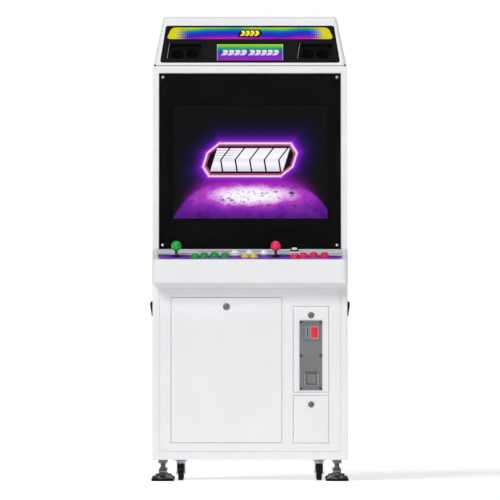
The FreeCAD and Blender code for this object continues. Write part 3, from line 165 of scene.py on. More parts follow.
def add_prism(bm, points, z0, z1, bevel=0.0, place=UPRIGHT, segments=2):
    """Extrudes an outline along local z and softens its edges."""
    lower = [bm.verts.new(place @ Vector((x, y, z0))) for x, y in points]
    upper = [bm.verts.new(place @ Vector((x, y, z1))) for x, y in points]
    faces = [bm.faces.new(lower[::-1]), bm.faces.new(upper)]
    count = len(points)
    for i in range(count):
        j = (i + 1) % count
        faces.append(bm.faces.new((lower[i], lower[j], upper[j], upper[i])))
    if bevel:
        edges = list({edge for face in faces for edge in face.edges})
        bmesh.ops.bevel(bm, geom=edges, offset=bevel, segments=segments, affect="EDGES", profile=0.5)


def softened(points, radius, steps=4):
    """The same closed outline with each corner turned into an arc."""
    result = []
    count = len(points)
    for i in range(count):
        before, here, after = (Vector(points[(i + k) % count]) for k in (-1, 0, 1))
        reach = min(radius, (before - here).length * 0.45, (after - here).length * 0.45)
        start = here + (before - here).normalized() * reach
        end = here + (after - here).normalized() * reach
        for k in range(steps + 1):
            t = k / steps
            point = start * (1 - t) ** 2 + here * 2 * t * (1 - t) + end * t ** 2
            result.append((point.x, point.y))
    return result


def add_screw(bm, centre, radius, z0, height, recess="hex", place=UPRIGHT):
    """Screw head with a rounded rim and a hexagon or cross recess."""
    if recess == "hex":
        top = hexagon(radius * 0.95, z0 + height, centre)
        floor = hexagon(radius * 0.9, z0 + height * 0.35, centre)
    else:
        top = cross(radius * 0.62, radius * 0.16, z0 + height, centre)
        floor = cross(radius * 0.5, radius * 0.14, z0 + height * 0.35, centre)
    loops = [
        circle(radius, z0, centre), circle(radius, z0 + height * 0.55, centre),
        circle(radius * 0.93, z0 + height * 0.85, centre), circle(radius * 0.8, z0 + height, centre), top, floor,
    ]
    add_loops(bm, loops, False, place)


def add_nut(bm, centre, across_flats, z0, z1, bore, place=UPRIGHT):
    chamfer = (z1 - z0) * 0.15
    loops = [
        circle(across_flats * 0.5, z0, centre), hexagon(across_flats, z0 + chamfer, centre),
        hexagon(across_flats, z1 - chamfer, centre), circle(across_flats * 0.5, z1, centre),
        circle(bore, z1, centre), circle(bore, z0, centre),
    ]
    add_loops(bm, loops, True, place)


def ribbed(radius, depth, start, end, pitch):
    """Profile points of a thread or a row of ribs between two heights."""
    count = max(1, round(abs(end - start) / pitch))
    step = (end - start) / count
    points = []
    for i in range(count):
        z = start + i * step
        points += [(radius - depth, z), (radius, z + step * 0.35), (radius, z + step * 0.6)]
    return points + [(radius - depth, end)]


def piece(name, bm, place, body, slot, material=None, stands_for=(), smooth=40):
    """Turns a builder mesh into a piece that rides on a body and takes its finish from a slot."""
    bmesh.ops.recalc_face_normals(bm, faces=bm.faces)
    mesh = bpy.data.meshes.new(name)
    bm.to_mesh(mesh)
    bm.free()
    mesh.transform(Matrix.Scale(MM, 4))
    mesh.shade_smooth()
    mesh.set_sharp_from_angle(angle=math.radians(smooth))
    mesh.materials.append(material or FINISH[slot])
    obj = bpy.data.objects.new(name, mesh)
    bpy.context.scene.collection.objects.link(obj)
    obj.matrix_world = place
    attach(obj, body)
    if stands_for:
        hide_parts(*stands_for)
    return obj


# ---------------------------------------------------------------- shader arithmetic
class Field:
    """A number that varies over a surface; arithmetic on it adds Math nodes to its tree."""

    def __init__(self, tree, socket):
        self.tree = tree
        self.socket = socket

    def op(self, kind, *others):
        node = self.tree.nodes.new("ShaderNodeMath")
        node.operation = kind
        for slot_in, value in zip(node.inputs, (self, *others)):
            plug(self.tree, value, slot_in)
        return Field(self.tree, node.outputs[0])

    def __add__(self, other):
        return self.op("ADD", other)

    def __sub__(self, other):
        return self.op("SUBTRACT", other)

    def __mul__(self, other):
        return self.op("MULTIPLY", other)

    def __truediv__(self, other):
        return self.op("DIVIDE", other)

    def __neg__(self):
        return self.op("MULTIPLY", -1.0)

    def sin(self):
        return self.op("SINE")

    def exp(self):
        return self.op("EXPONENT")

    def root(self):
        return self.op("SQRT")

    def size(self):
        return self.op("ABSOLUTE")

    def cycle(self):
        return self.op("FRACT")

    def least(self, other):
        return self.op("MINIMUM", other)

    def most(self, other):
        return self.op("MAXIMUM", other)

    def above(self, edge, soft):
        """0 below edge, 1 above it, with a smooth step of the given width."""
        return ramp(self, edge - soft / 2, edge + soft / 2)

    def below(self, edge, soft):
        return ramp(self, edge + soft / 2, edge - soft / 2)


def plug(tree, value, slot_in):
    if isinstance(value, Field):
        tree.links.new(value.socket, slot_in)
    else:
        slot_in.default_value = value


def ramp(field, start, end):
    node = field.tree.nodes.new("ShaderNodeMapRange")
    node.interpolation_type = "SMOOTHSTEP"
    plug(field.tree, field, node.inputs["Value"])
    plug(field.tree, start, node.inputs["From Min"])
    plug(field.tree, end, node.inputs["From Max"])
    return Field(field.tree, node.outputs["Result"])


def blended(tree, factor, first, second, kind="MIX"):
    """Colour mix; first and second are sockets or (r, g, b)."""
    node = tree.nodes.new("ShaderNodeMix")
    node.data_type = "RGBA"
    node.blend_type = kind
    factor_in, first_in, second_in = (next(s for s in node.inputs if s.identifier == name)
                                      for name in ("Factor_Float", "A_Color", "B_Color"))
    plug(tree, factor, factor_in)
    for value, slot_in in ((first, first_in), (second, second_in)):
        if isinstance(value, tuple):
            slot_in.default_value = (*value, 1.0)
        else:
            tree.links.new(value, slot_in)
    return next(s for s in node.outputs if s.identifier == "Result_Color")


def gradient(field, stops):
    """Colour ramp over a field; stops are (place, colour)."""
    node = field.tree.nodes.new("ShaderNodeValToRGB")
    elements = node.color_ramp.elements
    while len(elements) < len(stops):
        elements.new(0.5)
    for element, (place, colour) in zip(elements, stops):
        element.position = place
        element.color = (*colour, 1.0)
    field.tree.links.new(field.socket, node.inputs["Fac"])
    return node.outputs["Color"]


def new_material(name):
    material = bpy.data.materials.new(name)
    material.use_nodes = True
    tree = material.node_tree
    return material, tree, tree.nodes["Principled BSDF"]


def coordinates(tree, place=None):
    """Object coordinates in millimetres, in the given frame for a CAD node, as three fields."""
    source = tree.nodes.new("ShaderNodeTexCoord").outputs["Object"]
    mapping = tree.nodes.new("ShaderNodeMapping")
    mapping.inputs["Scale"].default_value = (1000, 1000, 1000)
    if place is not None:
        inverse = place.inverted()
        mapping.inputs["Rotation"].default_value = inverse.to_euler()
        mapping.inputs["Location"].default_value = inverse.translation * 1000
    tree.links.new(source, mapping.inputs["Vector"])
    parts = tree.nodes.new("ShaderNodeSeparateXYZ")
    tree.links.new(mapping.outputs["Vector"], parts.inputs[0])
    return [Field(tree, socket) for socket in parts.outputs], mapping.outputs["Vector"]


def noise(tree, vector, scale, detail=2.0, rough=0.5):
    node = tree.nodes.new("ShaderNodeTexNoise")
    node.inputs["Scale"].default_value = scale
    node.inputs["Detail"].default_value = detail
    node.inputs["Roughness"].default_value = rough
    tree.links.new(vector, node.inputs["Vector"])
    return Field(tree, node.outputs["Fac"])


def settings(shader, **values):
    for name, value in values.items():
        shader.inputs[name.replace("_", " ")].default_value = value


def surface(name, colour, roughness, tint=0.04, grain=0.12, grain_size=1.2, depth=0.02, stretch=(1, 1, 1), **values):
    """A finish with slow colour drift, fine grain in roughness and height, and constant shader settings."""
    material, tree, shader = new_material(name)
    source = tree.nodes.new("ShaderNodeTexCoord").outputs["Object"]
    mapping = tree.nodes.new("ShaderNodeMapping")
    mapping.inputs["Scale"].default_value = stretch
    tree.links.new(source, mapping.inputs["Vector"])
    vector = mapping.outputs["Vector"]
    drift = noise(tree, vector, 9.0, 4.0)
    darker = tuple(c * (1 - tint) for c in colour)
    lighter = tuple(min(c * (1 + tint), 1.0) for c in colour)
    colour_out = blended(tree, ramp(drift, 0.3, 0.7), darker, lighter)
    tree.links.new(colour_out, shader.inputs["Base Color"])
    fine = noise(tree, vector, 1000.0 / grain_size, 3.0, 0.6)
    roughness_out = fine * (roughness * grain * 2) + roughness * (1 - grain)
    tree.links.new(roughness_out.socket, shader.inputs["Roughness"])
    bump = tree.nodes.new("ShaderNodeBump")
    bump.inputs["Strength"].default_value = 0.5
    bump.inputs["Distance"].default_value = depth * MM
    tree.links.new(fine.socket, bump.inputs["Height"])
    tree.links.new(bump.outputs["Normal"], shader.inputs["Normal"])
    settings(shader, **values)
    return material


WHITE = (0.755, 0.76, 0.775)
FINISH = {
    "white_paint": surface("powder_coat", WHITE, 0.42, tint=0.012, grain=0.15, grain_size=1.4, depth=0.03),
    "white_shell": surface("white_moulding", (0.81, 0.815, 0.83), 0.32, tint=0.01, grain_size=1.0, depth=0.01),
    "grey_plate": surface("grey_paint", (0.155, 0.16, 0.165), 0.5, tint=0.06, grain_size=0.7, depth=0.04),
    "black_plastic": surface("black_moulding", (0.006, 0.006, 0.0065), 0.5, tint=0.2, grain_size=0.8, depth=0.06,
                             Specular_IOR_Level=0.15),
    "black_face": surface("black_acrylic", (0.009, 0.009, 0.010), 0.5, tint=0.15, grain_size=0.5, depth=0.01,
                          Specular_IOR_Level=0.03),
    "zinc_steel": surface("zinc_plate", (0.62, 0.63, 0.65), 0.3, tint=0.10, grain=0.3, grain_size=2.0, depth=0.02,
                          stretch=(1, 1, 6), Metallic=1.0),
    "chrome_lock": surface("lock_chrome", (0.17, 0.17, 0.175), 0.42, tint=0.08, grain_size=0.6, depth=0.02,
                           Metallic=0.8),
    "foot_metal": surface("foot_plate", (0.20, 0.205, 0.215), 0.22, tint=0.12, grain=0.3, grain_size=1.5, depth=0.05,
                          stretch=(1, 1, 4), Metallic=1.0),
    "rubber_wheel": surface("tyre_rubber", (0.006, 0.006, 0.006), 0.6, tint=0.2, grain_size=0.9, depth=0.08,
                            Specular_IOR_Level=0.12),
    "circuit_board": surface("solder_mask", (0.010, 0.10, 0.035), 0.35, tint=0.25, grain_size=3.0, depth=0.05),
    "grey_case": surface("grey_moulding", (0.12, 0.125, 0.13), 0.45, tint=0.05, grain_size=1.0, depth=0.05),
    "display": surface("display_case", (0.005, 0.005, 0.006), 0.6, tint=0.2, grain_size=0.8, depth=0.05,
                       Specular_IOR_Level=0.0),
}


def glow_plastic(name, colour, glow, roughness=0.16):
    """Clear coloured plastic that lets some light through, with a weak emission glow; on the joystick ball tops, which
    share the green and red finishes and hold no lamp, that glow is painted light.
    """
    return surface(name, colour, roughness, tint=0.06, grain=0.1, grain_size=4.0, depth=0.004,
                   Subsurface_Weight=0.15, Subsurface_Scale=0.004, Coat_Weight=0.25, Coat_Roughness=0.06,
                   Emission_Color=(*colour, 1.0), Emission_Strength=glow, Specular_IOR_Level=0.25)


GREEN = (0.003, 0.34, 0.03)
RED = (0.76, 0.02, 0.08)
YELLOW = (0.74, 0.62, 0.045)
MILK = (0.83, 0.83, 0.86)
FINISH.update({
    "green_plastic": glow_plastic("green_button", GREEN, 0.06),
    "red_plastic": glow_plastic("red_button", RED, 0.06),
    "yellow_plastic": glow_plastic("yellow_button", YELLOW, 0.06),
    "white_plastic": glow_plastic("white_button", MILK, 0.05),
    "clear_plastic": glow_plastic("clear_button", (0.6, 0.6, 0.62), 0.0),
})
BLACK_RIM = surface("black_button_rim", (0.004, 0.004, 0.004), 0.3, tint=0.1, grain_size=3.0, depth=0.005,
                    Specular_IOR_Level=0.1)
STICK_STEEL = surface("stick_steel", (0.10, 0.10, 0.11), 0.28, tint=0.1, grain_size=1.0, depth=0.01, Metallic=1.0)
GLASS_INK = surface("glass_ink", (0.0068, 0.0068, 0.0075), 0.6, tint=0.1, grain_size=0.5, depth=0.002,
                    Specular_IOR_Level=0.0)
# Darker copy of black for the speaker parts and screws in the pockets: they are black, and the extra darkness is
# painted shade of the recess.
SHADED_POCKET_BLACK = surface("speaker_black_painted_shade", (0.0035, 0.0035, 0.0035), 0.7, tint=0.2, grain_size=0.8, depth=0.04,
                       Specular_IOR_Level=0.02)
# Painted highlight: light grey for a strip on each pocket's left wall, where the wall catches light.
POCKET_WALL_HIGHLIGHT = surface("pocket_painted_highlight", (0.33, 0.33, 0.34), 0.4, tint=0.05, grain_size=0.8, depth=0.01)
REJECT_RED = glow_plastic("coin_reject_red", (0.68, 0.02, 0.035), 0.10, roughness=0.3)
HALO = glow_plastic("coin_reject_halo", (0.42, 0.22, 0.25), 0.10, roughness=0.3)
CHIP_BLACK = surface("chip_black", (0.015, 0.015, 0.016), 0.55, tint=0.2, grain_size=0.6, depth=0.05)
GOLD_PIN = surface("gold_contact", (0.75, 0.55, 0.18), 0.3, tint=0.1, grain_size=1.0, depth=0.01, Metallic=1.0)
COPPER_TRACE = surface("pale_connector", (0.75, 0.72, 0.62), 0.5, tint=0.05, grain_size=1.5, depth=0.02)


# ---------------------------------------------------------------- printed and lit artwork
def glass_material():
    material, tree, shader = new_material("clear_cover_glass")
    vector = tree.nodes.new("ShaderNodeTexCoord").outputs["Object"]
    smear = noise(tree, vector, 14.0, 4.0)
    roughness_out = smear * 0.004
    tree.links.new(roughness_out.socket, shader.inputs["Roughness"])
    tinted = blended(tree, smear, (0.95, 0.97, 0.97), (0.98, 0.99, 0.99))
    tree.links.new(tinted, shader.inputs["Base Color"])
    settings(shader, Transmission_Weight=1.0, IOR=1.1)
    return material


def light_up(tree, shader, colour, strength, base=0.0):
    """Finishes a picture: the colour glows, and a share of it also reflects light."""
    tree.links.new(colour, shader.inputs["Emission Color"])
    tree.links.new(blended(tree, base, (0.0, 0.0, 0.0), colour), shader.inputs["Base Color"])
    settings(shader, Emission_Strength=strength, Roughness=0.5, Specular_IOR_Level=0.0)


SCREEN_X = 267.0
SCREEN_S0 = 110.0
SCREEN_S1 = 511.5
BADGE_S = 318.0
BADGE_HALF_H = 58.0
BADGE_HALF_W = 154.0
PLANET_X = 10.0
PLANET_TOP = 238.0


def screen_material():
    """Attract picture of the main display: a neon badge with plain chevrons over a lit planet."""
    material, tree, shader = new_material("main_picture")
    (x, s, _n), vector = coordinates(tree)
    up = s - BADGE_S
    across = x - up * 0.30
    half = across.size()
    height = up.size()
    edge = (height - BADGE_HALF_H).most(half - BADGE_HALF_W).most(half * 0.74 + height * 0.67 - 130.0)
    outside = edge.most(0.0)
    line = (-(edge * edge) / 11.0).exp()
    near_glow = (-outside / 9.0).exp()
    far_glow = (-outside / 19.0).exp()
    inside = edge.below(0.0, 1.5)
    bevel = edge.above(-10.0, 2.0) * edge.below(-4.0, 2.0)
    stripe = ((across - height * 0.45) / 50.0).cycle()
    field = height.below(41.0, 2.0) * half.below(125.0, 2.0)
    chevrons = stripe.above(0.04, 0.04) * stripe.below(0.93, 0.04) * field
    scan = ((s / 9.0).cycle() - 0.5).size().above(0.36, 0.12) * across.below(-60.0, 40.0) * up.above(0.0, 20.0)
    picture = blended(tree, far_glow * 0.7, (0.0075, 0.0075, 0.0075), (0.08, 0.008, 0.70))
    picture = blended(tree, near_glow, picture, (0.60, 0.03, 0.95))

    reach = (x - PLANET_X) / 238.0
    skyline = reach * reach * reach * reach * -72.0 + PLANET_TOP
    rise = s - skyline
    disc = rise.below(0.0, 16.0)
    halo = (-(rise.most(0.0)) / 18.0).exp()
    rock = noise(tree, vector, 0.022, 6.0, 0.62)
    fine = noise(tree, vector, 0.09, 4.0, 0.6)
    lit_x = (x - 2.0) / 176.0
    lit_s = (s - 192.0) / 40.0
    lit = (-(lit_x * lit_x + lit_s * lit_s)).exp()
    ground = gradient(lit * 1.0 + (rock - 0.5) * 0.6 + 0.10, (
        (0.0, (0.05, 0.008, 0.16)), (0.25, (0.22, 0.02, 0.42)), (0.5, (0.50, 0.06, 0.58)),
        (0.72, (0.85, 0.50, 0.92)), (0.95, (1.0, 0.94, 1.0)),
    ))
    craters = tree.nodes.new("ShaderNodeTexVoronoi")
    craters.inputs["Scale"].default_value = 0.035
    stretched = tree.nodes.new("ShaderNodeMapping")
    stretched.inputs["Scale"].default_value = (1.0, 1.9, 1.0)
    tree.links.new(vector, stretched.inputs["Vector"])
    tree.links.new(stretched.outputs["Vector"], craters.inputs["Vector"])
    pits = Field(tree, craters.outputs["Distance"]).below(0.30, 0.12) * rock.above(0.48, 0.12)
    pits = pits + fine.above(0.60, 0.05) * 0.7 + rock.above(0.6, 0.06) * reach.above(0.1, 0.5) * 0.7
    ground = blended(tree, (pits * 0.65).least(1.0), ground, (0.12, 0.03, 0.24))
    fade = s.above(SCREEN_S0 + 14.0, 34.0) * 0.55 + 0.45
    ground = blended(tree, fade, (0.05, 0.008, 0.14), ground)
    picture = blended(tree, halo * x.size().below(190.0, 160.0) * 0.85, picture, (0.42, 0.02, 0.55))
    picture = blended(tree, disc, picture, ground)

    picture = blended(tree, inside, picture, (0.010, 0.006, 0.012))
    picture = blended(tree, bevel * 0.8, picture, (0.50, 0.07, 0.20))
    chrome = gradient(up / 80.0 + 0.5, (
        (0.0, (0.75, 0.60, 0.85)), (0.3, (1.0, 1.0, 1.0)), (0.52, (0.86, 0.80, 0.95)), (0.6, (1.0, 1.0, 1.0)),
        (1.0, (0.90, 0.86, 0.96)),
    ))
    chrome = blended(tree, scan * 0.6, chrome, (0.30, 0.18, 0.34))
    picture = blended(tree, chevrons, picture, chrome)
    picture = blended(tree, line, picture, (1.0, 0.80, 1.0))
    light_up(tree, shader, picture, 1.0)
    return material


RAINBOW = (
    (0.0, (0.62, 0.03, 0.45)), (0.12, (0.32, 0.02, 0.50)), (0.28, (0.06, 0.02, 0.62)), (0.55, (0.012, 0.05, 0.70)),
    (0.72, (0.01, 0.22, 0.50)), (0.84, (0.03, 0.48, 0.15)), (0.94, (0.30, 0.70, 0.05)), (1.0, (0.50, 0.76, 0.04)),
)
BAND = (113.5, 162.5)


def band_material():
    """Printed band over the marquee: waves of colour, with yellow ends that break up into a halftone."""
    material, tree, shader = new_material("rainbow_band")
    (x, t, _n), _vector = coordinates(tree)
    low, high = BAND
    wave = (x / 46.0).sin() * 0.07 + (x / 17.0 + 1.0).sin() * 0.025
    colour = gradient((t - low) / (high - low) + wave, RAINBOW)
    far = x.size() + (t - low) * 0.2
    pitch = 7.0
    cell_x = ((x / pitch).cycle() - 0.5).size()
    cell_t = ((t / pitch).cycle() - 0.5).size()
    dot = cell_x.most(cell_t)
    growth = ramp(far, 196.0, 276.0) * 0.56
    dots = (growth - dot).above(0.0, 0.08)
    colour = blended(tree, dots, colour, (0.80, 0.76, 0.02))
    # Painted glow: the printed band holds no lamp, yet its emission of 0.22 brightens it.
    light_up(tree, shader, colour, 0.22, 0.6)
    return material


MARQUEE_T0 = 22.0
MARQUEE_T1 = 94.0


def marquee_material():
    """Picture of the small display: the same colours in level bands, brighter along both sides."""
    material, tree, shader = new_material("marquee_picture")
    (x, t, _n), vector = coordinates(tree)
    grain = noise(tree, vector, 0.05, 3.0)
    level = (t - MARQUEE_T0) / (MARQUEE_T1 - MARQUEE_T0) + (grain - 0.5) * 0.08
    colour = gradient(level, (
        (0.0, (0.42, 0.03, 0.52)), (0.22, (0.26, 0.03, 0.58)), (0.42, (0.10, 0.06, 0.50)), (0.58, (0.02, 0.14, 0.42)),
        (0.70, (0.01, 0.28, 0.24)), (0.80, (0.06, 0.50, 0.10)), (0.90, (0.20, 0.66, 0.06)), (1.0, (0.58, 0.76, 0.06)),
    ))
    colour = blended(tree, x.size().above(112.0, 3.0) * 0.5, colour, (0.8, 0.8, 0.95))
    light_up(tree, shader, colour, 0.9)
    return material


def chrome_shape_material():
    material, tree, shader = new_material("marquee_shapes")
    (_x, t, _n), _vector = coordinates(tree)
    colour = gradient((t - 44.0) / 28.0, (
        (0.0, (0.62, 0.42, 0.85)), (0.35, (0.92, 0.88, 1.0)), (0.5, (0.45, 0.42, 0.75)), (0.6, (0.95, 0.92, 1.0)),
        (1.0, (0.70, 0.66, 0.92)),
    ))
    light_up(tree, shader, colour, 0.9)
    return material


def emblem_material():
    material, tree, shader = new_material("emblem_yellow")
    (_x, t, _n), _vector = coordinates(tree)
    colour = gradient((t - 123.0) / 30.0, (
        (0.0, (0.85, 0.50, 0.02)), (0.5, (0.92, 0.74, 0.04)), (1.0, (0.95, 0.86, 0.20)),
    ))
    # Painted glow: the printed emblem holds no lamp, yet its emission of 0.2 brightens it.
    light_up(tree, shader, colour, 0.2, 0.85)
    return material


def panel_material():
    """Printed overlay of the control panel: pale lavender with a violet swoosh along the front, and a painted shade
    line along the groove.
    """
    material, tree, shader = new_material("panel_overlay")
    (x, v, w), vector = coordinates(tree, PANEL)
    cloud = noise(tree, vector, 0.012, 3.0)
    lavender = blended(tree, cloud, (0.80, 0.80, 0.95), (0.90, 0.90, 0.97))
    crest = (x / 66.0).sin() * 7.0 + (x / 28.0 + 0.6).sin() * 3.0 + 83.0
    depth = crest - v
    in_band = depth.above(0.0, 3.0)
    shade = gradient(depth / 70.0 + (cloud - 0.5) * 0.5, (
        (0.0, (0.02, 0.012, 0.10)), (0.22, (0.05, 0.02, 0.34)), (0.5, (0.16, 0.04, 0.60)), (0.75, (0.30, 0.06, 0.74)),
        (1.0, (0.16, 0.03, 0.55)),
    ))
    flame = ((x / 41.0).sin() * 16.0 + 34.0 - v).size().below(6.0, 9.0)
    shade = blended(tree, flame * 0.5, shade, (0.50, 0.03, 0.42))
    colour = blended(tree, in_band, lavender, shade)
    # Painted shade: a dark line along the groove near v 102, where shade falls in it.
    groove_shade = (v - 102.0).size().below(5.0, 2.0)
    colour = blended(tree, groove_shade * 0.9, colour, (0.06, 0.05, 0.14))
    stripe = (v - 151.0).size().below(5.0, 2.0) * x.size().below(183.0, 30.0)
    colour = blended(tree, stripe * 0.85, colour, (0.16, 0.05, 0.42))
    under = w.below(-0.5, 0.6)
    colour = blended(tree, under, colour, (0.55, 0.56, 0.58))
    tree.links.new(colour, shader.inputs["Base Color"])
    fine = noise(tree, vector, 1.1, 2.0)
    tree.links.new((fine * 0.1 + 0.3).socket, shader.inputs["Roughness"])
    settings(shader, Coat_Weight=0.3, Coat_Roughness=0.2)
    return material


FINISH["dark_glass"] = glass_material()
FINISH["panel_overlay"] = panel_material()


# ---------------------------------------------------------------- carried-over CAD nodes
NODE_MATERIALS = {"mounting_hardware": FINISH["foot_metal"]}


def dress_nodes():
    for part in frame["record"]["subparts"]:
        node = NODES[part["node"]]
        node.data.materials.clear()
        node.data.materials.append(NODE_MATERIALS.get(part["node"], FINISH[part["material_slot"]]))


dress_nodes()


# ---------------------------------------------------------------- main display and cover glass
def cover_glass():
    bm = bmesh.new()
    low_s, high_s = 0.8, 622.6
    add_frame(bm, (-313.0, 313.0, low_s, high_s), (-SCREEN_X - 1, SCREEN_X + 1, SCREEN_S0 - 1, SCREEN_S1 + 1),
              -4.96, -4.86, 3.0, 4.0, 0.02)
    piece("glass_border_print", bm, GLASS, "cabinet", "black_face", GLASS_INK)
    bm = bmesh.new()
    add_frame(bm, (-286.0, 286.0, 91.0, 530.0), (-SCREEN_X, SCREEN_X, SCREEN_S0, SCREEN_S1), -9.9, -7.2, 4.0,
              1.0, 0.8)
    piece("display_bezel", bm, GLASS, "cabinet", "display")
    bm = bmesh.new()
    add_block(bm, (-SCREEN_X, SCREEN_S0, -9.9), (SCREEN_X, SCREEN_S1, -9.2), 0.6, 0.1)
    piece("display_picture", bm, GLASS, "cabinet", "display", screen_material())
    for side in (-1, 1):
        for end, s in (("lower", 14.5), ("upper", high_s - 14.1)):
            bm = bmesh.new()
            add_screw(bm, (side * 300.0, s), 4.6, 0.05, 2.1, "hex")
            name = "glass_screw_" + end + ("_left" if side < 0 else "_right")
            piece(name, bm, GLASS, "cabinet", "zinc_steel")
            bm = bmesh.new()
            add_turned(bm, [(4.7, 0.02), (6.6, 0.02), (6.6, 0.5), (6.2, 0.8), (4.7, 0.8)], (side * 300.0, s),
                       40, True)
            piece(name + "_washer", bm, GLASS, "cabinet", "black_plastic")


cover_glass()


# ---------------------------------------------------------------- hood, marquee and speakers
FACE_W = -2.5
PLATE_BACK_W = -5.5
SPEAKER_X = 225.0
SPEAKER_STEP = 25.0
SPEAKER_T = 63.0
POCKET_FLOOR_W = -23.5
POCKET_HALF_X = 59.0
POCKET_T = (31.7, 94.0)


def slanted_chevrons(bm, x0, count, pitch, width, t0, t1, w0, w1, slant):
    """A row of plain arrowhead bars."""
    middle = (t0 + t1) / 2
    for i in range(count):
        x = x0 + i * pitch
        tip = (t1 - t0) * 0.28
        low_x, mid_x, high_x = x, x + slant * (middle - t0), x + slant * (t1 - t0)
        outline = [
            (low_x, t0), (low_x + width, t0), (mid_x + width + tip, middle), (high_x + width, t1), (high_x, t1),
            (mid_x + tip, middle),
        ]
        add_prism(bm, outline, w0, w1)


def marquee():
    low, high = BAND
    bm = bmesh.new()
    outline = softened([(-289.0, low), (289.0, low), (270.0, high), (-270.0, high)], 16.0, 6)
    add_prism(bm, outline, FACE_W + 0.02, FACE_W + 0.35)
    piece("marquee_band", bm, HOOD, "cabinet", "black_face", band_material())
    bm = bmesh.new()
    plate = softened([(-42.0, 121.0), (30.0, 121.0), (42.0, 136.0), (36.0, 153.0), (-30.0, 153.0), (-40.0,
                                                                                                    137.0)], 3.0)
    add_prism(bm, plate, FACE_W + 0.3, FACE_W + 0.8, 0.15)
    piece("emblem_shadow", bm, HOOD, "cabinet", "black_face")
    bm = bmesh.new()
    slanted_chevrons(bm, -35.0, 4, 16.0, 11.5, 126.0, 148.0, FACE_W + 0.75, FACE_W + 1.3, 0.22)
    piece("emblem_bars", bm, HOOD, "cabinet", "black_face", emblem_material())

    bm = bmesh.new()
    add_frame(bm, (-117.5, 117.5, 19.5, 96.5), (-114.0, 114.0, 23.0, 93.0), PLATE_BACK_W + 0.1, FACE_W + 0.5,
              2.0, 1.0, 0.4)
    piece("marquee_window_trim", bm, HOOD, "cabinet", "black_face")
    bm = bmesh.new()
    add_block(bm, (-118.0, 19.0, PLATE_BACK_W + 0.02), (118.0, 97.0, PLATE_BACK_W + 0.5), 1.0, 0.1)
    piece("marquee_picture", bm, HOOD, "cabinet", "display", marquee_material())
    bm = bmesh.new()
    slanted_chevrons(bm, -101.0, 4, 21.5, 16.5, 46.0, 69.0, PLATE_BACK_W + 0.52, PLATE_BACK_W + 1.0, 0.3)
    slanted_chevrons(bm, -7.0, 5, 20.5, 15.5, 46.0, 69.0, PLATE_BACK_W + 0.52, PLATE_BACK_W + 1.0, 0.3)
    piece("marquee_shapes", bm, HOOD, "cabinet", "display", chrome_shape_material())

    for side, word in ((-1, "left"), (1, "right")):
        middle = side * SPEAKER_X
        bm = bmesh.new()
        outer = (middle - POCKET_HALF_X - 2.2, middle + POCKET_HALF_X + 2.2, POCKET_T[0] - 2.2, POCKET_T[1] + 2.2)
        inner = (middle - POCKET_HALF_X, middle + POCKET_HALF_X, POCKET_T[0], POCKET_T[1])
        add_frame(bm, outer, inner, FACE_W - 0.2, FACE_W + 0.5, 2.6, 0.6, 0.35)
        piece("speaker_pocket_trim_" + word, bm, HOOD, "cabinet", "black_face")
        # Painted highlight: a thin light grey strip on the left wall of each pocket.
        bm = bmesh.new()
        edge_x = middle - POCKET_HALF_X
        low_t, high_t = POCKET_T[0] - 1.0, POCKET_T[1] + 1.0
        line = [(edge_x - 2.6, low_t), (edge_x - 1.2, low_t), (edge_x + 7.0, high_t), (edge_x + 5.6, high_t)]
        add_prism(bm, line, FACE_W + 0.3, FACE_W + 0.9, 0.15)
        piece("speaker_pocket_painted_highlight_" + word, bm, HOOD, "cabinet", "zinc_steel", POCKET_WALL_HIGHLIGHT)
        for number, dx in enumerate((-SPEAKER_STEP, SPEAKER_STEP)):
            add_speaker(word + "_" + str(number + 1), middle + dx)
        bm = bmesh.new()
        for dx in (-52, 52):
            for dt in (-25, 25):
                add_screw(bm, (middle + dx, SPEAKER_T + dt), 2.2, POCKET_FLOOR_W, 1.2, "cross")
        # The screws take the darker pocket black, which carries painted shade.
        piece("speaker_screws_" + word, bm, HOOD, "cabinet", "black_plastic", SHADED_POCKET_BLACK)
        bm = bmesh.new()
        add_turned(bm, [(0.02, -3.5), (3.2, -3.5), (3.6, -2.6), (3.6, 0.6), (2.8, 1.4), (0.02, 1.4)], (0, 0), 32)
        seam_z = (node_box("monitor_housing")[1].z + node_box("marquee_hood")[0].z) / 2
        place = Matrix.Translation((side * 0.3275, node_box("marquee_hood")[0].y * MM,
                                    seam_z * MM)) @ tilted((0, 0, 0), 90)
        piece("seam_plug_" + word, bm, place, "cabinet", "black_plastic")


def add_speaker(word, x):
    """Rubber surround, paper cone and dust cap behind the pocket's floor."""
    centre = (x, SPEAKER_T)
    # The speaker parts take the darker pocket black, which carries painted shade.
    bm = bmesh.new()
    surround = [
        (21.6, POCKET_FLOOR_W - 1.9), (21.6, POCKET_FLOOR_W - 1.0), (20.8, POCKET_FLOOR_W - 0.2), (19.6,
                                                                                                   POCKET_FLOOR_W),
        (18.4, POCKET_FLOOR_W - 0.2), (17.6, POCKET_FLOOR_W - 1.2), (17.6, POCKET_FLOOR_W - 1.9),
    ]
    add_turned(bm, surround, centre, 48, True)
    piece("speaker_surround_" + word, bm, HOOD, "cabinet", "rubber_wheel", SHADED_POCKET_BLACK)
    bm = bmesh.new()
    cone = [(17.8, -1.4), (15.0, -3.2), (12.0, -5.2), (9.0, -7.2), (6.5, -8.6), (6.3, -9.4), (17.6, -2.6)]
    add_turned(bm, [(r, POCKET_FLOOR_W + w) for r, w in cone], centre, 48, True)
    piece("speaker_cone_" + word, bm, HOOD, "cabinet", "black_plastic", SHADED_POCKET_BLACK)
    bm = bmesh.new()
    cap = [(7.0, -9.0), (7.0, -7.8), (6.0, -6.4), (4.4, -5.4), (2.2, -4.8), (0.02, -4.6)]
    add_turned(bm, [(r, POCKET_FLOOR_W + w) for r, w in cap], centre, 32)
    piece("speaker_cap_" + word, bm, HOOD, "cabinet", "black_face", SHADED_POCKET_BLACK)


marquee()


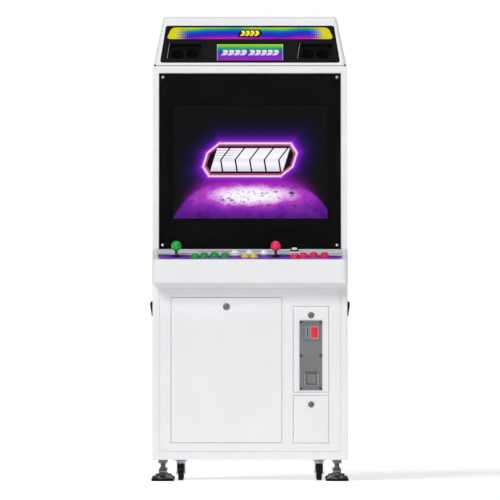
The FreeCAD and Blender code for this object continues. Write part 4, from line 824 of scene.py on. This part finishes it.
# ---------------------------------------------------------------- control panel fittings
BUTTON_FINISH = {
    "p1": "green_plastic", "p2": "red_plastic", "start": "yellow_plastic", "menu": "white_plastic",
    "service": "white_plastic",
}
BUTTONS = sorted(name for name in NODES if "_button" in name and name.startswith(tuple(BUTTON_FINISH)))


def panel_spot(name):
    """Centre of a node in the panel's frame, in millimetres."""
    low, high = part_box(name)
    return (PANEL.inverted() @ ((low + high) / 2)) * 1000


def add_button(name):
    spot = panel_spot(name)
    centre = (spot.x, spot.y)
    low, high = node_box(name)
    radius = (high.x - low.x) / 2
    large = radius > 11
    rim_r, rim_h, barrel_r, bore = (16.5, 5.5, 14.9, 12.6) if large else (14.0, 4.5, 11.9, 10.1)
    top = 13.5 if large else 11.0
    family = name.split("_")[0]
    slot = BUTTON_FINISH[family]
    rim_finish = BLACK_RIM if family == "service" else FINISH[slot]

    bm = bmesh.new()
    profile = [(bore, -24.0), (barrel_r - 0.5, -24.0)]
    profile += ribbed(barrel_r, 0.45, -23.5, -8.5, 1.5)
    profile += [
        (barrel_r, -2.2), (barrel_r, 0.02), (rim_r - 0.3, 0.02), (rim_r, 0.5), (rim_r, rim_h * 0.5),
        (rim_r - 0.35, rim_h * 0.75), (rim_r - 1.1, rim_h * 0.93), (rim_r - 2.0, rim_h),
        (bore + 1.3, rim_h), (bore + 0.5, rim_h - 0.25), (bore + 0.05, rim_h - 1.0),
    ]
    add_turned(bm, profile, centre, 56, True)
    piece(name + "_rim", bm, PANEL, "control_panel", slot, rim_finish, ("button_housings",))

    bm = bmesh.new()
    lobes = 18
    def knurl(a):
        return rim_r - 0.1 + 0.45 * math.cos(lobes * a)
    loops = [polar_loop(knurl, z, centre, 108) for z in (-7.8, -2.6)]
    loops += [circle(barrel_r + 0.05, z, centre, 108) for z in (-2.6, -7.8)]
    add_loops(bm, loops, True)
    piece(name + "_nut", bm, PANEL, "control_panel", "black_plastic")

    bm = bmesh.new()
    add_turned(bm, [(0.02, -27.0), (barrel_r - 1, -27.0), (barrel_r - 0.6, -26.4), (barrel_r - 0.6, -24.1),
                    (0.02, -24.1)],
               centre, 40)
    x, v = centre
    add_block(bm, (x - 6, v - 4, -33.5), (x + 6, v + 4, -27.0), 0.8, 0.4)
    piece(name + "_switch", bm, PANEL, "control_panel", "black_plastic")
    bm = bmesh.new()
    for dx in (-3.5, 3.5):
        add_block(bm, (x + dx - 1.4, v - 0.3, -35.0), (x + dx + 1.4, v + 0.3, -33.2), 0.25, 0.1)
    piece(name + "_terminals", bm, PANEL, "control_panel", "zinc_steel")

    bm = bmesh.new()
    skirt = [
        (0.02, -16.5), (radius - 0.8, -16.5), (radius, -15.6), (radius, top - 3.4), (radius - 0.25, top - 2.2),
        (radius - 0.9, top - 1.2), (radius - 2.0, top - 0.55), (radius - 3.4, top - 0.3), (radius * 0.45, top - 0.08),
        (0.02, top),
    ]
    add_turned(bm, skirt, centre, 56)
    piece(name + "_cap", bm, PANEL, name, slot, None, (name,), 60)


for button in BUTTONS:
    add_button(button)


STICKS = {"p1": "green_plastic", "p2": "red_plastic"}
BALL_R = 17.5
BALL_W = 38.0


def add_stick(player):
    spot = panel_spot(player + "_stick_ball")
    gimbal = panel_spot(player + "_stick_gimbal")
    centre = (spot.x, gimbal.y)
    body = player + "_stick"
    bm = bmesh.new()
    start = -math.asin((BALL_W - 21.5) / BALL_R)
    steps = 26
    profile = [(3.05, 21.9), (3.6, 21.5)]
    for i in range(steps + 1):
        a = start + (math.pi / 2 - start) * i / steps
        profile.append((BALL_R * math.cos(a), BALL_W + BALL_R * math.sin(a)))
    add_turned(bm, [(0.02, 21.9)] + profile, centre, 64)
    # The ball top's glow, from the green or red finish, is painted light: a ball holds no lamp.
    piece(player + "_ball_top", bm, PANEL, body, STICKS[player], None, (body + "_ball",), 70)

    bm = bmesh.new()
    shaft = [
        (0.02, -41.0), (4.0, -41.0), (4.75, -40.2), (4.75, -38.6), (3.9, -38.5), (3.9, -37.6), (4.75,
                                                                                                -37.5), (4.75, 20.4),
        (4.1, 21.3), (0.02, 21.3),
    ]
    add_turned(bm, shaft, centre, 40)
    pin_place = Matrix.Translation((centre[0], centre[1] - 16.5, -22.0)) @ Matrix.Rotation(math.radians(-90), 4, "X")
    add_turned(bm, [(0.02, 0), (1.7, 0), (2.0, 0.4), (2.0, 32.6), (1.7, 33.0), (0.02, 33.0)], (0, 0), 24,
               False, pin_place)
    piece(player + "_stick_shaft", bm, PANEL, body, "zinc_steel", STICK_STEEL, (body + "_lever",))

    bm = bmesh.new()
    washer = [
        (4.9, 3.85), (15.2, 3.85), (15.5, 4.2), (15.2, 4.6), (13.4, 5.1), (9.0, 5.35), (7.2, 5.6), (6.6,
                                                                                                    6.6), (4.9, 6.8),
    ]
    add_turned(bm, washer, centre, 48, True)
    actuator = [(4.9, -37.0), (7.5, -37.0), (7.8, -36.6), (7.8, -31.5), (7.3, -31.0), (4.9, -31.0)]
    add_turned(bm, actuator, centre, 40, True)
    piece(player + "_dust_washer", bm, PANEL, body, "black_plastic")

    x, v = centre
    bm = bmesh.new()
    for dx in (-42, 42):
        for dv in (-21, 21):
            add_nut(bm, (x + dx, v + dv), 7.0, -7.2, -3.7, 2.1)
            add_turned(bm, [(0.02, -9.5), (1.7, -9.5), (2.0, -9.1), (2.0, -3.7), (0.02, -3.7)], (x + dx, v + dv), 20)
    piece(player + "_stick_mount_nuts", bm, PANEL, "control_panel", "zinc_steel")
    bm = bmesh.new()
    for dx in (-1, 1):
        low_x, high_x = sorted((x + dx * 30.2, x + dx * 36.0))
        add_block(bm, (low_x, v - 10, -34.0), (high_x, v + 10, -24.0), 0.8, 0.4)
    piece(player + "_stick_switches", bm, PANEL, "control_panel", "black_plastic", CHIP_BLACK)


for player_name in STICKS:
    add_stick(player_name)


# ---------------------------------------------------------------- doors: locks, coin plate
def add_lock(door):
    name = door + "_lock"
    joint = JOINTS[name + "_turn"]
    x, z = joint["pos_m"][0] * 1000, joint["pos_m"][2] * 1000
    low, high = node_box(name)
    head_r = x - low.x
    reach = high.x - x
    centre = (x, z)
    bm = bmesh.new()
    profile = [
        (0.02, -18.0), (8.9, -18.0), (9.5, -17.4), (9.5, -0.6), (9.5, 0.05), (head_r, 0.05), (head_r, 1.7),
        (head_r - 0.5, 2.5), (head_r - 1.4, 3.0), (head_r - 2.6, 3.0), (head_r - 3.2, 2.4), (6.6, 2.2), (6.4, 2.6),
        (5.9, 2.8), (0.02, 2.85),
    ]
    add_turned(bm, profile, centre, 48)
    piece(name + "_cylinder", bm, FRONT, name, "chrome_lock", None, (name,))
    bm = bmesh.new()
    add_block(bm, (x - 0.9, z - 4.2, 2.7), (x + 0.9, z + 4.2, 2.95), 0.5, 0.05)
    piece(name + "_keyway", bm, FRONT, name, "black_plastic")
    bm = bmesh.new()
    cam = softened([(x - 8, z - 7), (x + reach, z - 7), (x + reach, z + 7), (x - 8, z + 7)], 6.5, 6)
    add_prism(bm, cam, -17.0, -14.0, 0.4)
    add_nut(bm, centre, 13.0, -20.5, -17.2, 3.0)
    add_screw(bm, centre, 4.2, -21.8, 2.2, "cross")
    piece(name + "_cam", bm, FRONT, name, "zinc_steel")
    bm = bmesh.new()
    add_nut(bm, centre, 24.0, -5.4, -1.7, 9.7)
    piece(name + "_nut", bm, FRONT, door + "_door", "zinc_steel")


for door_name in ("service", "coin", "cash"):
    add_lock(door_name)

PLATE_OUT = 2.5
ENTRY_OUT = 6.5
CUP_OUT = 5.5


def coin_fittings():
    bm = bmesh.new()
    screw_x = (175.5, 242.7)
    for x in screw_x:
        for z in (318.5, 432.0, 547.5):
            add_screw(bm, (x, z), 4.4, PLATE_OUT + 0.02, 2.0, "hex")
    piece("coin_plate_screws", bm, FRONT, "coin_door", "black_plastic")

    low, high = node_box("coin_reject_button")
    bm = bmesh.new()
    add_block(bm, (low.x, low.z, -4.5), (high.x, high.z, 9.5), 2.2, 1.2)
    piece("coin_reject_cap", bm, FRONT, "coin_reject_button", "red_plastic", REJECT_RED, ("coin_reject_button",))
    bm = bmesh.new()
    outer = (low.x - 4.2, high.x + 4.2, low.z - 4.6, high.z + 4.6)
    inner = (low.x - 0.35, high.x + 0.35, low.z - 0.35, high.z + 0.35)
    add_frame(bm, outer, inner, ENTRY_OUT - 0.3, ENTRY_OUT + 0.9, 3.0, 2.0, 0.5)
    piece("coin_reject_halo", bm, FRONT, "coin_door", "red_plastic", HALO)

    bm = bmesh.new()
    for x0, x1 in ((194.4, 196.2), (199.8, 201.6)):
        add_block(bm, (x0, 493.5, ENTRY_OUT - 0.2), (x1, 530.5, ENTRY_OUT + 1.0), 0.8, 0.5)
    piece("coin_slot_lips", bm, FRONT, "coin_door", "zinc_steel")
    bm = bmesh.new()
    add_block(bm, (192.0, 535.0, ENTRY_OUT - 0.1), (232.0, 537.6, ENTRY_OUT + 0.35), 1.1, 0.2)
    piece("coin_entry_rib", bm, FRONT, "coin_door", "grey_plate")

    flap_low, flap_high = node_box("coin_return_flap")
    bm = bmesh.new()
    for x in (flap_low.x + 4.0, flap_high.x - 4.0):
        add_block(bm, (x - 0.7, flap_low.z + 2.0, 1.2), (x + 0.7, flap_high.z - 4.0, 2.2), 0.5, 0.3)
    add_block(bm, (flap_low.x + 6.5, flap_low.z + 1.0, 1.2), (flap_high.x - 6.5, flap_low.z + 3.2, 2.4), 0.8, 0.4)
    piece("coin_flap_ribs", bm, FRONT, "coin_return_flap", "grey_plate")
    bm = bmesh.new()
    for x in (188.2, 232.2, 235.6):
        add_block(bm, (x - 0.55, 332.0, CUP_OUT - 0.1), (x + 0.55, 368.0, CUP_OUT + 0.3), 0.4, 0.15)
    piece("coin_cup_lines", bm, FRONT, "coin_door", "zinc_steel")
    # Painted shadow: a thin black strip near the top of the coin cup, where shade falls.
    bm = bmesh.new()
    add_block(bm, (189.0, 374.2, CUP_OUT - 0.1), (233.0, 375.8, CUP_OUT + 0.25), 0.7, 0.1)
    piece("coin_cup_painted_shadow", bm, FRONT, "coin_door", "black_plastic")


coin_fittings()


# ---------------------------------------------------------------- side handles
def handle_screws():
    for side, word in ((-1, "left"), (1, "right")):
        place = Matrix.Translation((side * 0.3418, 0.040, 0.593)) @ Matrix.Rotation(math.radians(side * 90), 4, "Y")
        bm = bmesh.new()
        for dy in (-57.5, 57.5):
            add_screw(bm, (0, dy), 2.9, -0.8, 2.4, "cross")
        piece("handle_screws_" + word, bm, place, "cabinet", "zinc_steel")


handle_screws()


# ---------------------------------------------------------------- feet and casters
CORNERS = ("front_left", "front_right", "rear_left", "rear_right")


def add_foot(corner):
    name = "foot_" + corner
    low, high = node_box(name)
    centre = ((low.x + high.x) / 2, (low.y + high.y) / 2)
    x, y = centre
    bm = bmesh.new()
    add_turned(bm, [(0.02, 0), (38.0, 0), (39.5, 1.2), (39.5, 7.6), (38.9, 8.6), (37.8, 9.0), (0.02, 9.0)],
               centre, 64)
    piece(name + "_pad", bm, UPRIGHT, name, "rubber_wheel", None, (name,))
    bm = bmesh.new()
    cap = [
        (0.02, 9.05), (38.2, 9.05), (38.6, 9.6), (38.2, 10.6), (36.2, 11.6), (30.0, 14.2), (22.0, 18.2), (16.0, 21.8),
        (14.2, 23.6), (13.8, 24.6), (12.6, 25.4), (11.2, 25.6), (11.2, 27.0), (10.4, 29.0), (8.8, 30.0), (0.02, 30.0),
    ]
    add_turned(bm, cap, centre, 64)
    for dx in (-24.0, 24.0):
        add_turned(bm, [(0.02, 13.0), (4.4, 13.0), (4.4, 19.6), (3.8, 20.4), (0.02, 20.4)], (x + dx, y), 24)
    piece(name + "_cap", bm, UPRIGHT, name, "foot_metal")
    bm = bmesh.new()
    add_nut(bm, centre, 28.0, 30.0, 41.0, 7.3)
    stem = [(0.02, 30.1)] + ribbed(7.5, 0.7, 30.2, 118.4, 2.1) + [(6.2, 119.0), (0.02, 119.0)]
    add_turned(bm, stem, centre, 36)
    piece(name + "_stem", bm, UPRIGHT, name, "foot_metal")


def along_x(x, y, z):
    """A frame whose local z runs along X, at a point in millimetres."""
    return Matrix.Translation((x, y, z)) @ SIDEWAYS


def add_caster(corner):
    fork = "caster_fork_" + corner
    wheel = "caster_wheel_" + corner
    pin = JOINTS["caster_swivel_" + corner]["pos_m"]
    axle = JOINTS["caster_roll_" + corner]["pos_m"]
    x, y = pin[0] * 1000, pin[1] * 1000
    axle_y, axle_z = axle[1] * 1000, axle[2] * 1000

    bm = bmesh.new()
    race = [(0.02, 62.0), (15.6, 62.0), (17.0, 63.2), (17.0, 65.2), (16.0, 66.2), (16.0, 67.6), (17.0, 68.6),
            (16.6, 71.0),
            (5.0, 71.0), (5.0, 73.5), (0.02, 73.5)]
    add_turned(bm, race, (x, y), 48)
    add_block(bm, (x - 14, y - 22, 60.0), (x + 14, y + 14, 62.0), 3.0, 0.5)
    leg = softened([
        (y + 14, 61.5), (y - 22, 61.5), (y - 30, 30), (axle_y - 7, 20.2), (axle_y + 7, 20.2), (y - 6,
                                                                                               30), (y + 12, 50),
    ], 6.0, 4)
    turned_leg = [(-z, leg_y) for leg_y, z in leg]
    for side in (-1, 1):
        inner, outer = sorted((side * 12.0, side * 14.0))
        add_prism(bm, turned_leg, inner, outer, 0.35, along_x(x, 0, 0))
    bolt = along_x(x, axle_y, axle_z)
    add_turned(bm, [(0.02, -15.9), (3.0, -15.9), (4.0, -15.2), (4.0, 15.2), (3.0, 15.9), (0.02, 15.9)], (0, 0),
               32, False, bolt)
    add_nut(bm, (0, 0), 10.0, 14.0, 15.8, 3.9, bolt)
    add_nut(bm, (0, 0), 10.0, -15.8, -14.0, 3.9, bolt)
    piece(fork + "_bracket", bm, UPRIGHT, fork, "zinc_steel", None, (fork,))

    bm = bmesh.new()
    pedal = softened([
        (y - 21, 59.8), (y - 46, 55), (y - 51.8, 46), (y - 51.8, 34.2), (y - 48.8, 34.2), (y - 48.6,
                                                                                           44), (y - 44.5, 51.0),
        (y - 24, 55.5),
    ], 3.0, 3)
    turned_pedal = [(-z, pedal_y) for pedal_y, z in pedal]
    add_prism(bm, turned_pedal, -11.8, 11.8, 0.6, along_x(x, 0, 0))
    for z in (38.0, 41.0, 44.0):
        add_block(bm, (x - 9, y - 52.0, z), (x + 9, y - 51.2, z + 1.2), 0.3, 0.2)
    piece(fork + "_pedal", bm, UPRIGHT, fork, "black_plastic")

    bm = bmesh.new()
    tyre = [
        (15.6, -7.6), (21.8, -9.4), (23.2, -9.2), (24.2, -8.2), (24.9, -6.0), (25.0, -3.4), (24.5,
                                                                                             -3.0), (24.5, -2.4),
        (25.0, -2.0), (25.0, 2.0), (24.5, 2.4), (24.5, 3.0), (25.0, 3.4), (24.9, 6.0), (24.2, 8.2), (23.2, 9.2),
        (21.8, 9.4), (15.6, 7.6),
    ]
    add_turned(bm, tyre, (0, 0), 72, True, bolt)
    piece(wheel + "_tyre", bm, UPRIGHT, wheel, "rubber_wheel", None, (wheel,))
    bm = bmesh.new()
    hub = [
        (4.06, -9.6), (7.4, -9.6), (8.0, -9.0), (8.0, -6.2), (15.4, -5.4), (15.7, -5.0), (15.7, 5.0), (15.4, 5.4),
        (8.0, 6.2), (8.0, 9.0), (7.4, 9.6), (4.06, 9.6),
    ]
    add_turned(bm, hub, (0, 0), 48, True, bolt)
    piece(wheel + "_hub", bm, UPRIGHT, wheel, "grey_case")


for corner_name in CORNERS:
    add_foot(corner_name)
    add_caster(corner_name)


# ---------------------------------------------------------------- back: screws, inlet
def rear_fittings():
    low, high = node_box("rear_panel")
    bm = bmesh.new()
    for x in (-250.0, 0.0, 250.0):
        for z in (low.z + 9.0, high.z - 9.0):
            add_screw(bm, (-x, z), 4.2, -0.6, 0.58, "cross")
    for z in (low.z + 160.0, low.z + 310.0, low.z + 460.0):
        for x in (low.x + 9.0, high.x - 9.0):
            add_screw(bm, (-x, z), 4.2, -0.6, 0.58, "cross")
    piece("rear_panel_screws", bm, REAR, "cabinet", "zinc_steel")

    low, high = node_box("power_supply")
    inlet_x, inlet_z = 195.0, 115.0
    bm = bmesh.new()
    add_frame(bm, (-inlet_x - 23.3, -inlet_x + 23.3, inlet_z - 13.3, inlet_z + 13.3),
              (-inlet_x - 12.2, -inlet_x + 12.2, inlet_z - 8.6, inlet_z + 8.6), 0.0, 2.4, 2.5, 3.0, 0.6, UPRIGHT)
    piece("inlet_bezel", bm, BASE_BACK, "cabinet", "black_plastic")
    bm = bmesh.new()
    for dx, dz in ((-7.0, -1.5), (0.0, 2.5), (7.0, -1.5)):
        add_block(bm, (-inlet_x + dx - 1.0, inlet_z + dz - 2.2, -13.8), (-inlet_x + dx + 1.0,
                                                                         inlet_z + dz + 2.2, -1.5), 0.5, 0.4)
    piece("inlet_pins", bm, BASE_BACK, "cabinet", "zinc_steel")
    bm = bmesh.new()
    for dx in (-19.0, 19.0):
        add_screw(bm, (-inlet_x + dx, inlet_z), 2.6, 2.3, 0.6, "cross")
    piece("inlet_screws", bm, BASE_BACK, "cabinet", "zinc_steel")


rear_fittings()


# ---------------------------------------------------------------- inside the base
def inside_fittings():
    low, high = node_box("game_board")
    board_y = 338.0
    place = Matrix.Translation((0, board_y * MM, 0)) @ tilted((0, 0, 0), 90)
    bm = bmesh.new()
    add_block(bm, (-200, 280, -1.6), (130, 510, 0.0), 3.0, 0.2)
    for x in (-190, 120):
        for z in (290, 500):
            add_turned(bm, [(0.02, -16.6), (3.9, -16.6), (3.9, -1.7), (0.02, -1.7)], (x, z), 24)
    piece("game_board_card", bm, place, "cabinet", "circuit_board", None, ("game_board",))
    bm = bmesh.new()
    chips = ((-120, 350, 60, 60, 4), (-30, 300, 40, 30, 3), (20, 340, 40, 40, 3), (-30, 360, 24, 36, 2),
             (-30, 420, 50, 22, 3),
             (-100, 300, 30, 18, 3), (70, 300, 34, 22, 3), (75, 350, 26, 40, 3))
    for x, z, w, h, t in chips:
        add_block(bm, (x, z, 0.0), (x + w, z + h, t), 1.0, 0.3)
    piece("game_board_chips", bm, place, "cabinet", "black_plastic", CHIP_BLACK)
    bm = bmesh.new()
    for i in range(9):
        add_block(bm, (-118 + i * 6.6, 352, 4.0), (-116.4 + i * 6.6, 408, 13.6), 0.4, 0.2)
    add_block(bm, (-119, 351, 4.0), (-61, 409, 6.0), 1.0, 0.3)
    for i in range(6):
        x, z = -180 + (i % 2) * 20, 446 + (i // 2) * 19
        add_turned(bm, [(0.02, 0), (6.8, 0), (6.8, 1.0), (6.4, 1.4), (6.8, 1.8), (6.8, 11.2), (6.2, 11.8),
                        (0.02, 11.8)],
                   (x, z), 28)
    piece("game_board_heat_sink", bm, place, "cabinet", "zinc_steel")
    bm = bmesh.new()
    for i in range(5):
        add_block(bm, (42 + i * 13, 432, 0.0), (52 + i * 13, 478, 9.6), 0.8, 0.4)
    for i in range(4):
        add_block(bm, (-110 + i * 34, 490, 0.0), (-84 + i * 34, 502, 8.0), 0.8, 0.4)
    piece("game_board_connectors", bm, place, "cabinet", "circuit_board", COPPER_TRACE)
    bm = bmesh.new()
    for i in range(28):
        add_block(bm, (-90 + i * 5, 282.0, 0.0), (-87.4 + i * 5, 290.0, 0.25), 0.3, 0.05)
    piece("game_board_edge_contacts", bm, place, "cabinet", "circuit_board", GOLD_PIN)

    low, high = node_box("power_supply")
    bm = bmesh.new()
    top_place = Matrix.Translation((0, 0, high.z * MM))
    for i in range(9):
        for j in range(5):
            x, y = 147 + i * 12, 240 + j * 12
            add_loops(bm, [hexagon(9.0, 0.0, (x, y), 12), hexagon(9.0, 0.25, (x, y), 12)], False)
    piece("power_supply_vents", bm, top_place, "cabinet", "black_plastic")
    bm = bmesh.new()
    supply_front = Matrix.Translation((0, low.y * MM, 0)) @ tilted((0, 0, 0), 90)
    for i in range(7):
        x = 136 + i * 14
        add_block(bm, (x, 92, 0.0), (x + 11, 112, 9.0), 1.0, 0.5)
    piece("power_supply_terminals", bm, supply_front, "cabinet", "black_plastic", CHIP_BLACK)
    bm = bmesh.new()
    for i in range(7):
        add_screw(bm, (141.5 + i * 14, 102), 3.4, 9.0, 1.6, "cross")
    piece("power_supply_screws", bm, supply_front, "cabinet", "zinc_steel")


inside_fittings()


# ---------------------------------------------------------------- stage, light, camera
def plain_floor():
    bm = bmesh.new()
    reach = 150000.0
    corners = [bm.verts.new((x, y, 0.0)) for x, y in ((-reach, -reach), (reach, -reach), (reach, reach),
                                                      (-reach, reach))]
    bm.faces.new(corners)
    mesh = bpy.data.meshes.new("floor")
    bm.to_mesh(mesh)
    bm.free()
    mesh.transform(Matrix.Scale(MM, 4))
    mesh.materials.append(surface("studio_floor", (0.90, 0.90, 0.90), 0.7, tint=0.004, grain_size=3.0, depth=0.01,
                                  Specular_IOR_Level=0.1, Emission_Color=(1.0, 1.0, 1.0, 1.0), Emission_Strength=0.45))
    floor = bpy.data.objects.new("floor", mesh)
    bpy.context.scene.collection.objects.link(floor)


def sun_light(name, towards, strength, softness):
    """Broad even light from one direction, like a very large softbox."""
    light = bpy.data.lights.new(name, "SUN")
    light.energy = strength
    light.angle = math.radians(softness)
    lamp = bpy.data.objects.new(name, light)
    bpy.context.scene.collection.objects.link(lamp)
    lamp.rotation_euler = Vector(towards).to_track_quat("Z", "Y").to_euler()


def studio_world(fill, backdrop):
    """White backdrop for the camera, and a weaker even fill for the light on the object."""
    world = bpy.data.worlds.new("studio")
    bpy.context.scene.world = world
    world.use_nodes = True
    tree = world.node_tree
    background = tree.nodes["Background"]
    background.inputs["Color"].default_value = (1.0, 1.0, 1.0, 1.0)
    seen = tree.nodes.new("ShaderNodeLightPath").outputs["Is Camera Ray"]
    strength = Field(tree, seen) * (backdrop - fill) + fill
    tree.links.new(strength.socket, background.inputs["Strength"])


CAMERA_REACH = 60.0
VIEW_WIDTH = 1.72
VIEW_MIDDLE_Z = 0.795
FRONT_PLANE_Y = -0.2
SENSOR = 36.0


def photo_camera():
    data = bpy.data.cameras.new("camera")
    data.sensor_width = SENSOR
    data.lens = SENSOR * CAMERA_REACH / VIEW_WIDTH
    data.clip_end = 400.0
    camera = bpy.data.objects.new("camera", data)
    bpy.context.scene.collection.objects.link(camera)
    camera.location = (0.0, FRONT_PLANE_Y - CAMERA_REACH, VIEW_MIDDLE_Z)
    camera.rotation_euler = (math.radians(90), 0.0, 0.0)
    bpy.context.scene.camera = camera


plain_floor()
sun_light("key", (-0.33, -0.85, 0.48), 1.62, 20.0)
sun_light("top", (0.05, -0.15, 1.0), 1.0, 60.0)
studio_world(0.12, 1.0)
photo_camera()
bpy.context.scene.view_settings.view_transform = "Standard"
